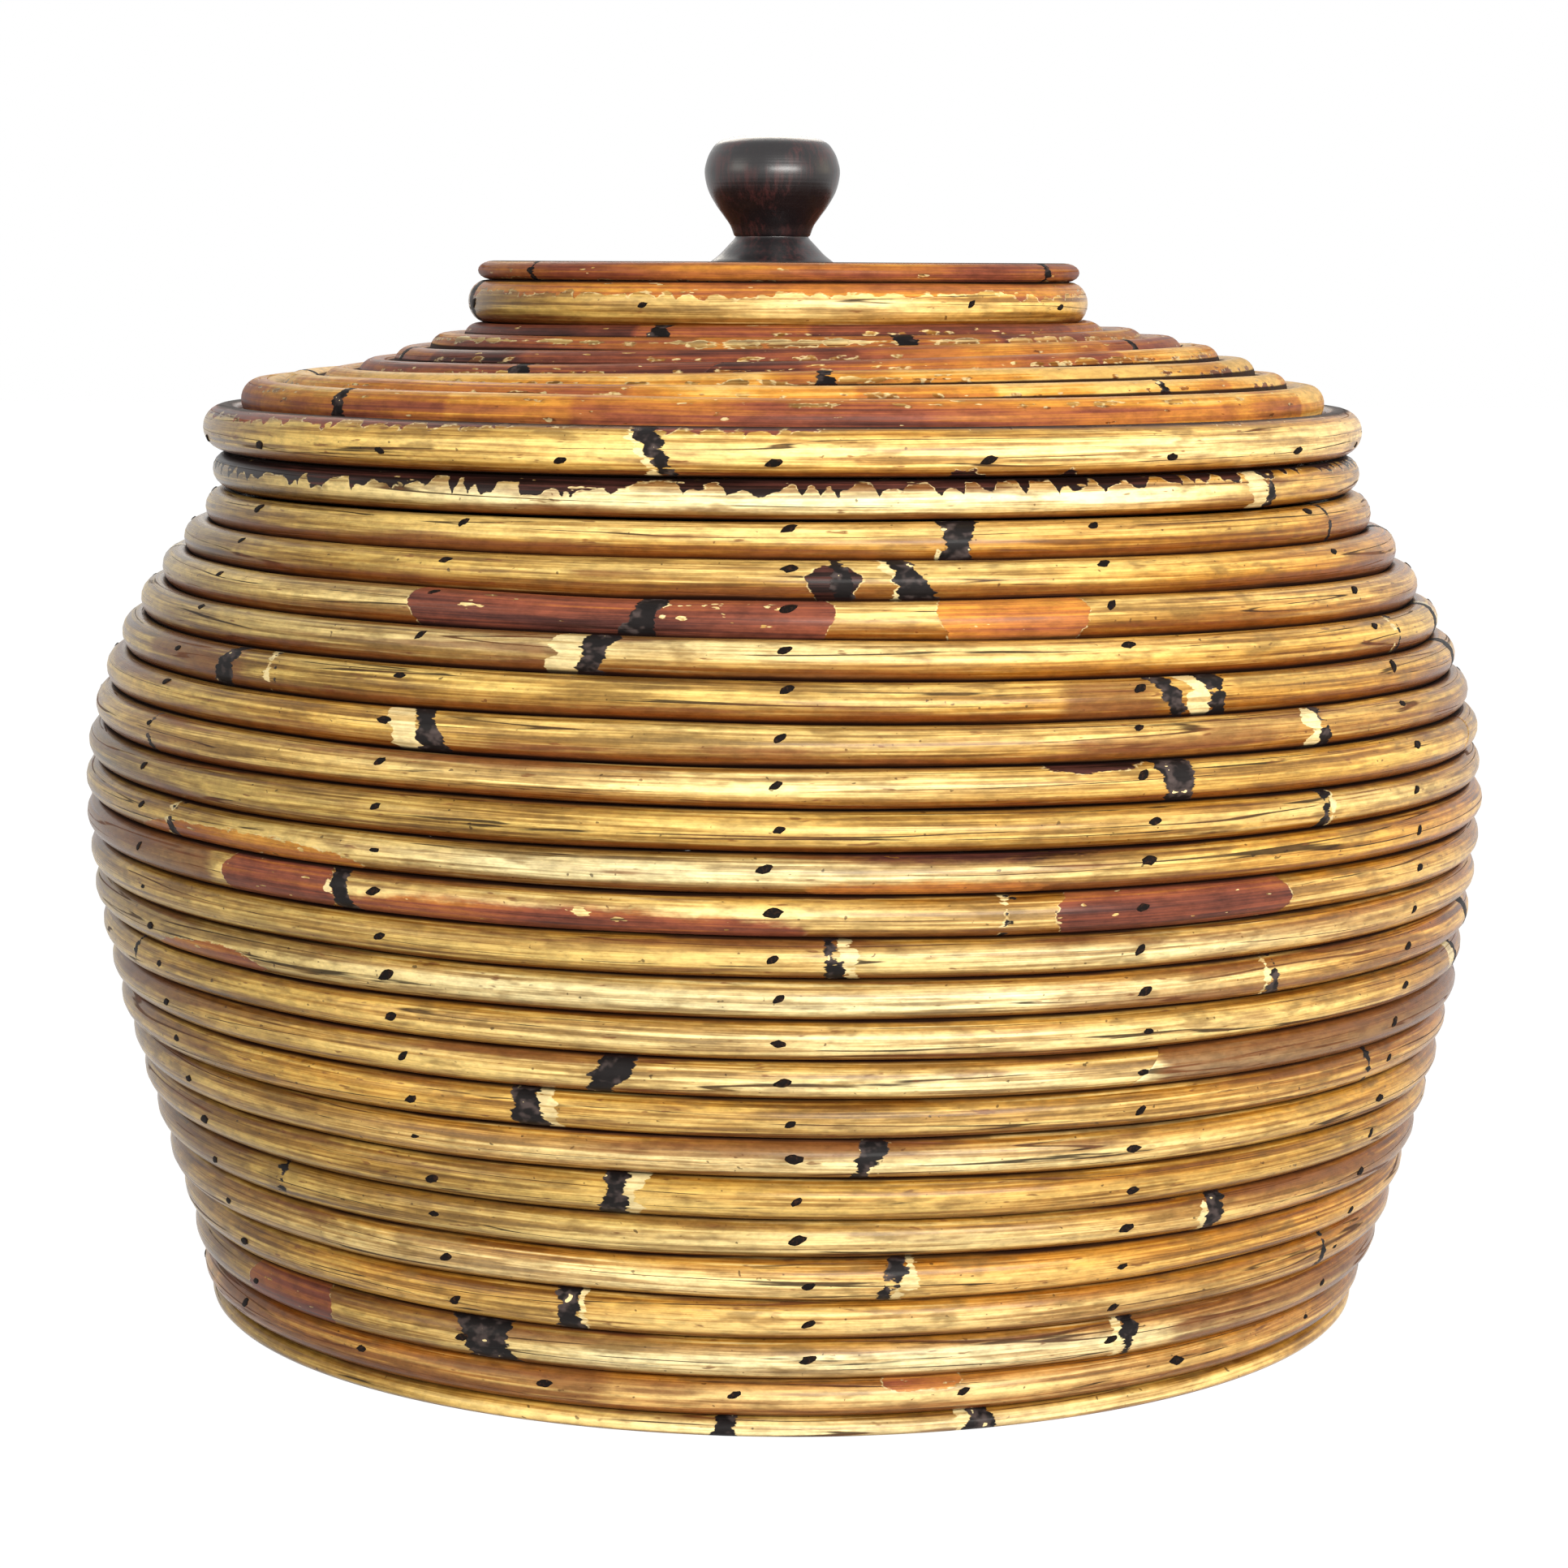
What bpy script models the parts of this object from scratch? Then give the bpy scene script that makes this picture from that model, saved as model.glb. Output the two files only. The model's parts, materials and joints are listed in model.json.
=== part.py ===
"""Coiled cane urn with a lift-off lid and a turned knob.

The wall is one rising coil of cane, spliced from several lengths, between a level foot ring and
a level rim ring. The lid is a shallow cone coiled the same way, with a thick rim ring, two inner
rings that drop into the mouth, and a raised collar that carries the knob.
"""

import math

import bmesh
import bpy
import numpy as np

# Driving dimensions, in metres
BODY_RADIUS = 0.170
CANE_INSET = 0.0047
TOUCH_GAP = 0.0003
COIL_GAP = 0.0005

# Base: a flat coil inside a ring of split cane that stands on the floor
BASE_RING_INNER = 0.1325
BASE_RING_OUTER = 0.1416
BASE_RING_TOP = 0.0042
BASE_COIL_CANE = 0.0054
BASE_COIL_LIFT = 0.0010
BASE_HOLE = 0.0060

# Foot ring and rim ring, the level courses at the two ends of the wall
FOOT_RING_RADIUS = 0.1388
FOOT_RING_CANE = 0.0044
FOOT_RING_HEIGHT = 0.0088
RIM_RING_RADIUS = 0.1346
RIM_RING_CANE = 0.0043
RIM_RING_HEIGHT = 0.2017

# Wall: outline of its outer side (radius, height), foot to rim
WALL_OUTLINE = (
    (0.1440, 0.0088),
    (0.1468, 0.0218),
    (0.1524, 0.0386),
    (0.1599, 0.0641),
    (0.1661, 0.0896),
    (BODY_RADIUS, 0.1168),
    (0.1697, 0.1321),
    (0.1671, 0.1491),
    (0.1597, 0.1661),
    (0.1513, 0.1797),
    (0.1416, 0.1933),
    (0.1360, 0.2008),
)
WALL_FROM = 0.0134
WALL_TO = 0.1962
WALL_COURSES = 21
FIRST_SPLICE = 4.066
TURNS_PER_CANE = 3.44

# How thick each of the wall's canes is, foot to rim
WALL_CANES = (0.0101, 0.0092, 0.0089, 0.0086, 0.0091, 0.0095)

# Hand coiling leaves the wall a little off its axis: height, and how far along X
WALL_SWAY = (
    (0.0088, 0.0),
    (0.0134, 0.0005),
    (0.0220, 0.0014),
    (0.0300, 0.0018),
    (0.0400, 0.0018),
    (0.0520, 0.0014),
    (0.0660, 0.0010),
    (0.0900, 0.0003),
    (0.1170, 0.0),
)

# Lid: the shell's first and last cane centres (radius, height), collar to rim
LID_SHIFT = -0.0008
LID_RIM_RADIUS = 0.1349
LID_RIM_CANE = 0.0054
LID_RIM_HEIGHT = 0.2117
SHELL_INNER = (0.0743, 0.2322)
SHELL_OUTER = (0.1265, 0.2181)
SHELL_TILT = 0.0026
SHELL_TILT_REACH = 0.85
SHELL_COURSES = 7
SHELL_SPLICE = 3.6042
INNER_RING_CANE = 0.0040
INNER_RING_RADIUS = 0.1242
INNER_RING_HEIGHT = 0.2084
LOCATING_RING_HEIGHT = 0.2005

# Collar on the lid, with a flat coil that closes it: hand work, a little off the urn's axis
COLLAR_SHIFT = -0.0020
COLLAR_RADIUS = 0.0706
COLLAR_CANE = 0.0046
COLLAR_HEIGHT = 0.2419
CAP_RING_INNER = 0.0655
CAP_RING_OUTER = 0.0731
CAP_RING_TOP = 0.2514
COLLAR_COIL_CANE = 0.0044
COLLAR_COIL_HEIGHT = 0.2462
COLLAR_HOLE = 0.0056

# Knob, turned in wood (radius, height above its foot), top to foot
KNOB_SHIFT = -0.0036
KNOB_OUTLINE = (
    (0.0085, 0.0311),
    (0.0129, 0.0299),
    (0.0149, 0.0277),
    (0.0160, 0.0251),
    (0.0164, 0.0222),
    (0.0155, 0.0182),
    (0.0136, 0.0147),
    (0.0118, 0.0122),
    (0.0102, 0.0099),
    (0.0093, 0.0076),
    (0.0089, 0.0070),
    (0.0105, 0.0052),
    (0.0128, 0.0028),
    (0.0150, 0.0010),
    (0.0150, 0.0),
)
SCREW_RADIUS = 0.0022
SCREW_HEAD_RADIUS = 0.0044
SCREW_HEAD_HEIGHT = 0.0026
SCREW_IN_KNOB = 0.0140
WASHER_RADIUS = 0.0140
WASHER_THICKNESS = 0.0016
DOME_STEPS = 3

# How finely round things are faceted
POINTS_PER_TURN = 24
FEW_POINTS_PER_TURN = 12
FINE_STEPS = 48
COARSE_STEPS = 24
RING_SIDES = 8
SPLIT_SIDES = 5
SPLIT_SHOULDER = 0.35
CORNER_REACH = 1 / math.cos(math.pi / 6)

# A coil steps up a course over this share of a turn, hidden at the back, and evens out to a
# steady climb over a few turns
STEP_SHARE = 1 / 6
WALL_RAMP = 4.0
SHELL_RAMP = 2.0
FLAT_RAMP = 1.0
THINNEST_TIP = 0.35
BACK = math.pi / 2


def clear_scene():
    for obj in list(bpy.data.objects):
        bpy.data.objects.remove(obj, do_unlink=True)


def new_collection(name):
    collection = bpy.data.collections.new(name)
    bpy.context.scene.collection.children.link(collection)
    return collection


def new_material(name, colour, roughness, metallic=0.0):
    material = bpy.data.materials.new(name)
    material.use_nodes = True
    shader = material.node_tree.nodes["Principled BSDF"]
    shader.inputs["Base Color"].default_value = (*colour, 1.0)
    shader.inputs["Roughness"].default_value = roughness
    shader.inputs["Metallic"].default_value = metallic
    return material


def new_body(name, collection, height=0.0):
    """An empty on the urn's axis, which its pieces hang from."""
    empty = bpy.data.objects.new(name, None)
    empty.location = (0.0, 0.0, height)
    collection.objects.link(empty)
    return empty


def place(obj, collection, body, material, shift=0.0):
    """Puts a piece, whose data is in the urn's own frame, under its body, this far along X."""
    obj.data.materials.append(material)
    collection.objects.link(obj)
    obj.parent = body
    obj.location = (shift, 0.0, -body.location.z)


def turned(name, profile, closed, steps):
    """A solid of revolution: the profile is (radius, height), down its outer side."""
    mesh = bpy.data.meshes.new(name)
    shape = bmesh.new()
    corners = [shape.verts.new((radius, 0.0, height)) for radius, height in profile]
    for first, second in zip(corners, corners[1:]):
        shape.edges.new((first, second))
    if closed:
        shape.edges.new((corners[-1], corners[0]))
    shape.to_mesh(mesh)
    shape.free()
    obj = bpy.data.objects.new(name, mesh)
    screw = obj.modifiers.new("turn", "SCREW")
    screw.angle = 2 * math.pi
    screw.steps = steps
    screw.render_steps = steps
    screw.use_merge_vertices = True
    screw.merge_threshold = 0.00005
    screw.use_smooth_shade = True
    return obj


def round_section(radius, height, cane):
    """The section of a ring of whole cane, clockwise."""
    angles = [-2 * math.pi * (side + 0.5) / RING_SIDES for side in range(RING_SIDES)]
    return [(radius + cane * math.cos(a), height + cane * math.sin(a)) for a in angles]


def split_section(inner, outer, bottom, top):
    """The section of a split cane laid flat: flat below and bowed on top, clockwise."""
    middle = (inner + outer) / 2
    half = (outer - inner) / 2
    shoulder = bottom + (top - bottom) * SPLIT_SHOULDER
    bow = [math.pi * step / SPLIT_SIDES for step in range(1, SPLIT_SIDES)]
    crown = [(middle - half * math.cos(a), shoulder + (top - shoulder) * math.sin(a)) for a in bow]
    return [(inner, bottom), (inner, shoulder), *crown, (outer, shoulder), (outer, bottom)]


def eased(share):
    """Goes smoothly from 0 to 1 as the share does, and stays there on either side."""
    share = np.clip(share, 0.0, 1.0)
    return share * share * (3 - 2 * share)


def top_edge(turn, courses, ramp, level_start):
    """The height of the cane's upper edge, in courses, this many turns along the coil.

    Near a level ring the coil lies level and steps up a course at the back. Away from it the
    climb evens out.
    """
    whole = np.floor(turn)
    stair = whole + eased((turn - whole) / STEP_SHARE)
    even = turn + (1 - STEP_SHARE) / 2
    evenness = eased((courses + STEP_SHARE - turn) / ramp)
    if level_start:
        evenness = evenness * eased(turn / ramp)
    return stair + evenness * (even - stair)


def coil_edges(turn, courses, ramp, level_start):
    """The lower and upper edge of the cane, in courses, at each turn count."""
    upper = np.minimum(top_edge(turn, courses, ramp, level_start), courses)
    lower = top_edge(turn - 1, courses, ramp, level_start)
    if level_start:
        lower = np.maximum(lower, 0.0)
    return lower, upper


def along(outline, distance):
    """Points of an outline of (radius, height) at these distances along it."""
    outline = np.asarray(outline)
    steps = np.hypot(*np.diff(outline, axis=0).T)
    marks = np.concatenate([[0.0], np.cumsum(steps)])
    return np.stack([np.interp(distance, marks, outline[:, axis]) for axis in (0, 1)], axis=-1)


def smooth_outline(corners, pieces=12):
    """A Catmull-Rom curve through the corners, as a fine outline."""
    corners = np.asarray(corners)
    lead_in = 2 * corners[:1] - corners[1:2]
    lead_out = 2 * corners[-1:] - corners[-2:-1]
    knots = np.concatenate([lead_in, corners, lead_out])
    share = np.linspace(0, 1, pieces, endpoint=False)[:, None]
    runs = []
    for before, start, end, after in zip(knots, knots[1:], knots[2:], knots[3:]):
        bend = 2 * before - 5 * start + 4 * end - after
        twist = 3 * start - before - 3 * end + after
        runs.append((2 * start + (end - before) * share + bend * share**2 + twist * share**3) / 2)
    return np.concatenate([*runs, [knots[-2]]])


def inset(outline, depth):
    """The outline moved in by this much, square to itself."""
    slope = np.gradient(outline, axis=0)
    slope /= np.hypot(*slope.T)[:, None]
    return outline + depth * np.stack([-slope[:, 1], slope[:, 0]], axis=-1)


def wound(turn, centre):
    """Points of a coil that climbs clockwise, seen from above, from the step at the back."""
    azimuth = BACK + math.pi * STEP_SHARE - 2 * math.pi * turn
    radius, height = centre[:, 0], centre[:, 1]
    return np.stack([radius * np.cos(azimuth), radius * np.sin(azimuth), height], axis=-1)


def coil(turn, outline, lengths_to, courses, ramp, level_start=True):
    """The turn counts, centre points, cane radii and leans of a coil on this centre outline.

    lengths_to turns a height in courses into a distance along the outline. The lean is the
    outline's angle from upright, which turns the cane's flat sides to its neighbours.
    """
    lower, upper = coil_edges(turn, courses, ramp, level_start)
    low, high = lengths_to(lower), lengths_to(upper)
    cane = (high - low - COIL_GAP) / 2
    keep = (upper - lower > THINNEST_TIP) & (np.round(lower, 6) >= 0)
    centre = along(outline, (low + high) / 2)
    rise = along(outline, high) - along(outline, low)
    lean = -np.arctan2(rise[:, 0], rise[:, 1])
    return turn[keep], wound(turn, centre)[keep], cane[keep], lean[keep]


def least_gap(points, cane, samples=4):
    """The smallest clear distance between parts of a coil that are most of a turn apart."""
    share = np.arange(samples)[:, None, None] / samples
    line = (points[:-1] * (1 - share) + points[1:] * share).transpose(1, 0, 2).reshape(-1, 3)
    thick = (cane[:-1] * (1 - share[..., 0]) + cane[1:] * share[..., 0]).T.reshape(-1)
    angle = np.unwrap(np.arctan2(line[:, 1], line[:, 0]))
    apart = np.linalg.norm(line[:, None] - line[None], axis=-1) - thick[:, None] - thick[None]
    return apart[np.abs(angle[:, None] - angle[None]) > 1.5 * math.pi].min()


def cut_lengths(turn, points, cane, lean, splices):
    """Cuts a coil at these turn counts into lengths whose square ends keep the coil's gap."""
    pieces = []
    for start, end in zip([turn[0], *splices], [*splices, turn[-1]]):
        radius = np.interp((start, end), turn, np.hypot(points[:, 0], points[:, 1]))
        slack = COIL_GAP / 2 / (2 * math.pi * radius)
        first = start + slack[0] * (start > turn[0])
        last = end - slack[1] * (end < turn[-1])
        at = np.concatenate([[first], turn[(turn > first) & (turn < last)], [last]])
        run = np.stack([np.interp(at, turn, points[:, axis]) for axis in range(3)], axis=-1)
        pieces.append((run, np.interp(at, turn, cane) * CORNER_REACH, np.interp(at, turn, lean)))
    return pieces


def cane_tube(name, points, cane, lean):
    """A six-sided cane along these points, with its corner radius and its lean at each."""
    thickest = float(cane.max())
    curve = bpy.data.curves.new(name, "CURVE")
    curve.dimensions = "3D"
    curve.twist_mode = "Z_UP"
    curve.bevel_depth = thickest
    curve.bevel_resolution = 1
    curve.use_fill_caps = True
    spline = curve.splines.new("POLY")
    spline.points.add(len(points) - 1)
    flat = np.concatenate([points, np.ones((len(points), 1))], axis=1)
    spline.points.foreach_set("co", flat.ravel())
    spline.points.foreach_set("radius", cane / thickest)
    spline.points.foreach_set("tilt", lean)
    return bpy.data.objects.new(name, curve)


def turn_counts(last):
    """Turn counts of a coil's points, which keep the same azimuths on every turn."""
    return np.arange(math.ceil(last * POINTS_PER_TURN) + 1) / POINTS_PER_TURN


def build_wall():
    """The rising coil, as its cane lengths from the foot up."""
    outline = inset(smooth_outline(WALL_OUTLINE), CANE_INSET)
    steps = np.hypot(*np.diff(outline, axis=0).T)
    marks = np.concatenate([[0.0], np.cumsum(steps)])
    start, end = np.interp((WALL_FROM, WALL_TO), outline[:, 1], marks)

    splices = np.arange(FIRST_SPLICE, WALL_COURSES - 1, TURNS_PER_CANE)
    ends = np.array([0.0, *splices, WALL_COURSES])
    course = np.linspace(0, WALL_COURSES, FINE_STEPS * WALL_COURSES + 1)
    thickness = np.interp(course, (ends[:-1] + ends[1:]) / 2, WALL_CANES)
    steps = (thickness[1:] + thickness[:-1]) / 2 * np.diff(course)
    climbed = np.concatenate([[0.0], np.cumsum(steps)])
    climbed *= (end - start) / climbed[-1]

    def lengths_to(courses):
        return start + np.interp(courses, course, climbed)

    turn = turn_counts(WALL_COURSES + STEP_SHARE)
    turn, points, cane, lean = coil(turn, outline, lengths_to, WALL_COURSES, WALL_RAMP)
    points[:, 0] += np.interp(points[:, 2], *np.transpose(WALL_SWAY))
    print(f"wall cane {2000 * cane.min():.2f} to {2000 * cane.max():.2f} mm")
    print(f"wall least gap {1000 * least_gap(points, cane):.2f} mm")
    return cut_lengths(turn, points, cane, lean, splices)


def build_shell():
    """The lid's conical coil, as its cane lengths from the rim up to the collar.

    It bulges a little higher to one side, most of all half way up its slope.
    """
    inner, outer = np.array(SHELL_INNER), np.array(SHELL_OUTER)
    pitch = np.hypot(*(outer - inner)) / (SHELL_COURSES - 1)
    along_slope = (inner - outer) / np.hypot(*(inner - outer))
    outline = [outer - along_slope * pitch / 2, inner + along_slope * pitch / 2]
    turn = turn_counts(SHELL_COURSES + STEP_SHARE)

    def lengths_to(courses):
        return pitch * courses

    turn, points, cane, lean = coil(turn, outline, lengths_to, SHELL_COURSES, SHELL_RAMP)
    radius = np.hypot(points[:, 0], points[:, 1])
    share = np.clip((outer[0] - radius) / (outer[0] - inner[0]), 0, 1) * SHELL_TILT_REACH
    points[:, 2] += SHELL_TILT * np.sin(math.pi * share) * points[:, 0] / radius
    print(f"lid shell pitch {1000 * pitch:.2f} mm, least gap {1000 * least_gap(points, cane):.2f} mm")
    return cut_lengths(turn, points, cane, lean, [SHELL_SPLICE])


def flat_coil(hole, reach, height, cane):
    """A flat coil of one cane, from its hole out to this reach."""
    pitch = 2 * cane + COIL_GAP
    courses = math.floor((reach - hole) / pitch)
    pitch = (reach - hole) / courses
    outline = [(hole, height), (reach, height)]
    turn = turn_counts(courses + STEP_SHARE)

    def lengths_to(count):
        return pitch * count

    _, points, radii, _ = coil(turn, outline, lengths_to, courses, FLAT_RAMP, False)
    radii = np.minimum(radii, cane)
    few = POINTS_PER_TURN // FEW_POINTS_PER_TURN
    index = np.arange(len(points))
    near = np.hypot(points[:, 0], points[:, 1]) < reach / 2
    keep = ~near | (index % few == 0)
    points, radii = points[keep], radii[keep]
    print(f"flat coil of {courses} turns, least gap {1000 * least_gap(points, radii):.2f} mm")
    return points, radii, np.zeros(len(points))


def add_base(collection, body, looks):
    ring = split_section(BASE_RING_INNER, BASE_RING_OUTER, 0.0, BASE_RING_TOP)
    place(turned("base_ring", ring, True, FINE_STEPS), collection, body, looks["straw"])
    reach = BASE_RING_INNER - TOUCH_GAP
    height = BASE_COIL_LIFT + BASE_COIL_CANE
    run = flat_coil(BASE_HOLE, reach, height, BASE_COIL_CANE)
    place(cane_tube("base_coil", *run), collection, body, looks["straw"])


def add_wall(collection, body, looks):
    foot = round_section(FOOT_RING_RADIUS, FOOT_RING_HEIGHT, FOOT_RING_CANE)
    place(turned("foot_ring", foot, True, FINE_STEPS), collection, body, looks["amber"])
    for count, run in enumerate(build_wall(), 1):
        place(cane_tube(f"wall_cane_{count}", *run), collection, body, looks["straw"])
    rim = round_section(RIM_RING_RADIUS, RIM_RING_HEIGHT, RIM_RING_CANE)
    place(turned("rim_ring", rim, True, FINE_STEPS), collection, body, looks["straw"])


def add_lid(collection, body, looks):
    rim = round_section(LID_RIM_RADIUS, LID_RIM_HEIGHT, LID_RIM_CANE)
    place(turned("lid_rim_ring", rim, True, FINE_STEPS), collection, body, looks["straw"], LID_SHIFT)
    heights = {"lid_inner_ring": INNER_RING_HEIGHT, "lid_locating_ring": LOCATING_RING_HEIGHT}
    for name, height in heights.items():
        ring = round_section(INNER_RING_RADIUS, height, INNER_RING_CANE)
        place(turned(name, ring, True, COARSE_STEPS), collection, body, looks["straw"], LID_SHIFT)
    for count, run in enumerate(build_shell(), 1):
        tube = cane_tube(f"lid_shell_cane_{count}", *run)
        place(tube, collection, body, looks["russet"], LID_SHIFT)


def add_collar(collection, body, looks):
    lower = round_section(COLLAR_RADIUS, COLLAR_HEIGHT, COLLAR_CANE)
    ring = turned("collar_ring", lower, True, COARSE_STEPS)
    place(ring, collection, body, looks["straw"], COLLAR_SHIFT)
    bottom = COLLAR_HEIGHT + COLLAR_CANE + TOUCH_GAP
    cap = split_section(CAP_RING_INNER, CAP_RING_OUTER, bottom, CAP_RING_TOP)
    cap_ring = turned("collar_cap_ring", cap, True, COARSE_STEPS)
    place(cap_ring, collection, body, looks["russet"], COLLAR_SHIFT)
    reach = CAP_RING_INNER - TOUCH_GAP
    run = flat_coil(COLLAR_HOLE, reach, COLLAR_COIL_HEIGHT, COLLAR_COIL_CANE)
    place(cane_tube("collar_coil", *run), collection, body, looks["russet"], COLLAR_SHIFT)


def add_knob(collection, body, looks):
    coil_half = COLLAR_COIL_CANE / CORNER_REACH
    foot = COLLAR_COIL_HEIGHT + coil_half + TOUCH_GAP
    bore = SCREW_RADIUS + TOUCH_GAP
    bore_top = foot + SCREW_IN_KNOB + TOUCH_GAP
    outer = [(radius, foot + height) for radius, height in KNOB_OUTLINE]
    outline = [(0.0, outer[0][1]), *outer, (bore, foot), (bore, bore_top), (0.0, bore_top)]
    knob = turned("knob", outline, False, COARSE_STEPS)
    place(knob, collection, body, looks["ebony"], KNOB_SHIFT)

    top = COLLAR_COIL_HEIGHT - coil_half - TOUCH_GAP
    under = top - WASHER_THICKNESS
    section = [(bore, top), (WASHER_RADIUS, top), (WASHER_RADIUS, under), (bore, under)]
    washer = turned("knob_washer", section, True, COARSE_STEPS)
    place(washer, collection, body, looks["steel"], KNOB_SHIFT)

    seat = under - TOUCH_GAP
    tip = foot + SCREW_IN_KNOB
    point = [(0.0, tip), (SCREW_RADIUS / 2, tip - SCREW_RADIUS), (SCREW_RADIUS, tip - 3 * SCREW_RADIUS)]
    dome = [math.pi / 2 * step / DOME_STEPS for step in range(DOME_STEPS)]
    head = [(SCREW_HEAD_RADIUS * math.cos(a), seat - SCREW_HEAD_HEIGHT * math.sin(a)) for a in dome]
    shank = [*point, (SCREW_RADIUS, seat), *head, (0.0, seat - SCREW_HEAD_HEIGHT)]
    screw = turned("knob_screw", shank, False, FEW_POINTS_PER_TURN)
    place(screw, collection, body, looks["steel"], KNOB_SHIFT)


def main():
    clear_scene()
    collection = new_collection("coiled_cane_urn")
    looks = {
        "straw": new_material("straw_cane", (0.62, 0.40, 0.14), 0.35),
        "russet": new_material("russet_cane", (0.36, 0.13, 0.035), 0.38),
        "amber": new_material("amber_cane", (0.58, 0.27, 0.06), 0.35),
        "ebony": new_material("dark_turned_wood", (0.012, 0.007, 0.005), 0.3),
        "steel": new_material("plated_steel", (0.55, 0.55, 0.53), 0.35, 1.0),
    }
    urn = new_body("urn_body", collection)
    lid = new_body("urn_lid", collection, RIM_RING_HEIGHT + RIM_RING_CANE + TOUCH_GAP)
    add_base(collection, urn, looks)
    add_wall(collection, urn, looks)
    add_lid(collection, lid, looks)
    add_collar(collection, lid, looks)
    add_knob(collection, lid, looks)


main()
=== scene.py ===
"""Looks of a coiled cane urn with a lift-off lid and a turned wooden knob.

The body is one rising coil of varnished cane between a level foot ring and a level rim ring,
pegged course to course. The lid is a shallow coiled cone with a thick rim, two inner rings and
a raised collar that carries the knob. Every cane is a tube carried along a coil or a ring, and
carries its own laid-straight coordinates, so that grain, scars and sheath follow it round.
"""

import json
import logging
import math
from dataclasses import dataclass, field, replace
from enum import Enum
from typing import Callable, Sequence, Union

import bpy
import numpy as np
from mathutils import Matrix, Vector

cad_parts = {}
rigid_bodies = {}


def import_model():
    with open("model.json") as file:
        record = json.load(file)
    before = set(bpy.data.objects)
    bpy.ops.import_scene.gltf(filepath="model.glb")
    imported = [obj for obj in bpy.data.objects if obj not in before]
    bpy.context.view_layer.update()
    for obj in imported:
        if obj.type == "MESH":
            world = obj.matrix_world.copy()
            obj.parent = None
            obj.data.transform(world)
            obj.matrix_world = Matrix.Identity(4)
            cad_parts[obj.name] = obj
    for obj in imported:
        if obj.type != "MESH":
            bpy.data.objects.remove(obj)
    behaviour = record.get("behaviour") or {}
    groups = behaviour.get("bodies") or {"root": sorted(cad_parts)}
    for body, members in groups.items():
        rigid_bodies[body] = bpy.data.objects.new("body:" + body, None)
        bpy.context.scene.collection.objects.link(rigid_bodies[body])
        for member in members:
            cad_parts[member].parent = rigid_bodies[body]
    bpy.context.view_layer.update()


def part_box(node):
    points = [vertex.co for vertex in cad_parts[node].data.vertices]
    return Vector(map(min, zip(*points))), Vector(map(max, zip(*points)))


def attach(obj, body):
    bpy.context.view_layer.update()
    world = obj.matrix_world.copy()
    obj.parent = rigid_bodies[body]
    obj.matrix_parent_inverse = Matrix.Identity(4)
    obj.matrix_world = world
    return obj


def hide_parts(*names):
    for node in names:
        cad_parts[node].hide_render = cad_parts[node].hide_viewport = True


Array = np.ndarray
Triple = tuple[float, float, float]
Colour = Triple
Outline = Sequence[tuple[float, float]]
Rule = Callable[[Array, Array], Array]
Looks = dict[str, bpy.types.Material]
Value = Union["Wire", float, Colour]

MM = 0.001
TAU = 2 * math.pi
# A level coil climbs a whole course in this share of each turn, which starts at the back
STEP_SHARE = 1 / 6
# Azimuth in degrees from the front at which every turn count is whole
AZIMUTH_BACK = 180 + 180 * STEP_SHARE
WHITE = (1.0, 1.0, 1.0)

log = logging.getLogger("urn")


class Side(Enum):
    """Which part of a cane's section a patch of sheath covers."""

    FULL = "full"
    UPPER = "upper"
    LOWER = "lower"


def smoothstep(share: Array) -> Array:
    """Goes smoothly from 0 to 1 as the share does, and stays there on either side."""
    share = np.clip(share, 0.0, 1.0)
    return share * share * (3 - 2 * share)


def drift(at: Array, wavelength: float, seed: int) -> Array:
    """A smooth random line, from -1 to 1, with one knot a wavelength.

    Formula: random values at evenly spaced knots, joined by smoothstep between them.
    """
    knots = np.random.default_rng(seed).uniform(-1, 1, 4096)
    place = np.asarray(at) / wavelength
    low = np.floor(place)
    share = smoothstep(place - low)
    first = low.astype(int) % 4095
    return knots[first] * (1 - share) + knots[first + 1] * share


def table(pairs: Outline, at: Array) -> Array:
    """Reads a table of (place, value) pairs, straight between its rows."""
    return np.interp(at, *np.transpose(pairs))


def smooth_outline(corners: Outline, pieces: int = 12) -> Array:
    """A Catmull-Rom curve through the corners.

    Args:
        corners: points of (radius, height).
        pieces: straight pieces between two corners.

    Returns:
        The fine outline, one point a row.
    """
    line = np.asarray(corners, float)
    knots = np.concatenate([2 * line[:1] - line[1:2], line, 2 * line[-1:] - line[-2:-1]])
    share = np.linspace(0, 1, pieces, endpoint=False)[None, :, None]
    before, start, end, after = (knots[k : len(knots) - 3 + k, None] for k in range(4))
    bend = 2 * before - 5 * start + 4 * end - after
    twist = 3 * start - before - 3 * end + after
    runs = (2 * start + (end - before) * share + bend * share**2 + twist * share**3) / 2
    return np.concatenate([runs.reshape(-1, 2), knots[-2:-1]])


def inset(outline: Array, depth: float) -> Array:
    """The outline moved in by this much, square to itself."""
    slope = np.gradient(outline, axis=0)
    slope /= np.hypot(*slope.T)[:, None]
    return outline + depth * np.stack([-slope[:, 1], slope[:, 0]], axis=-1)


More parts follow.
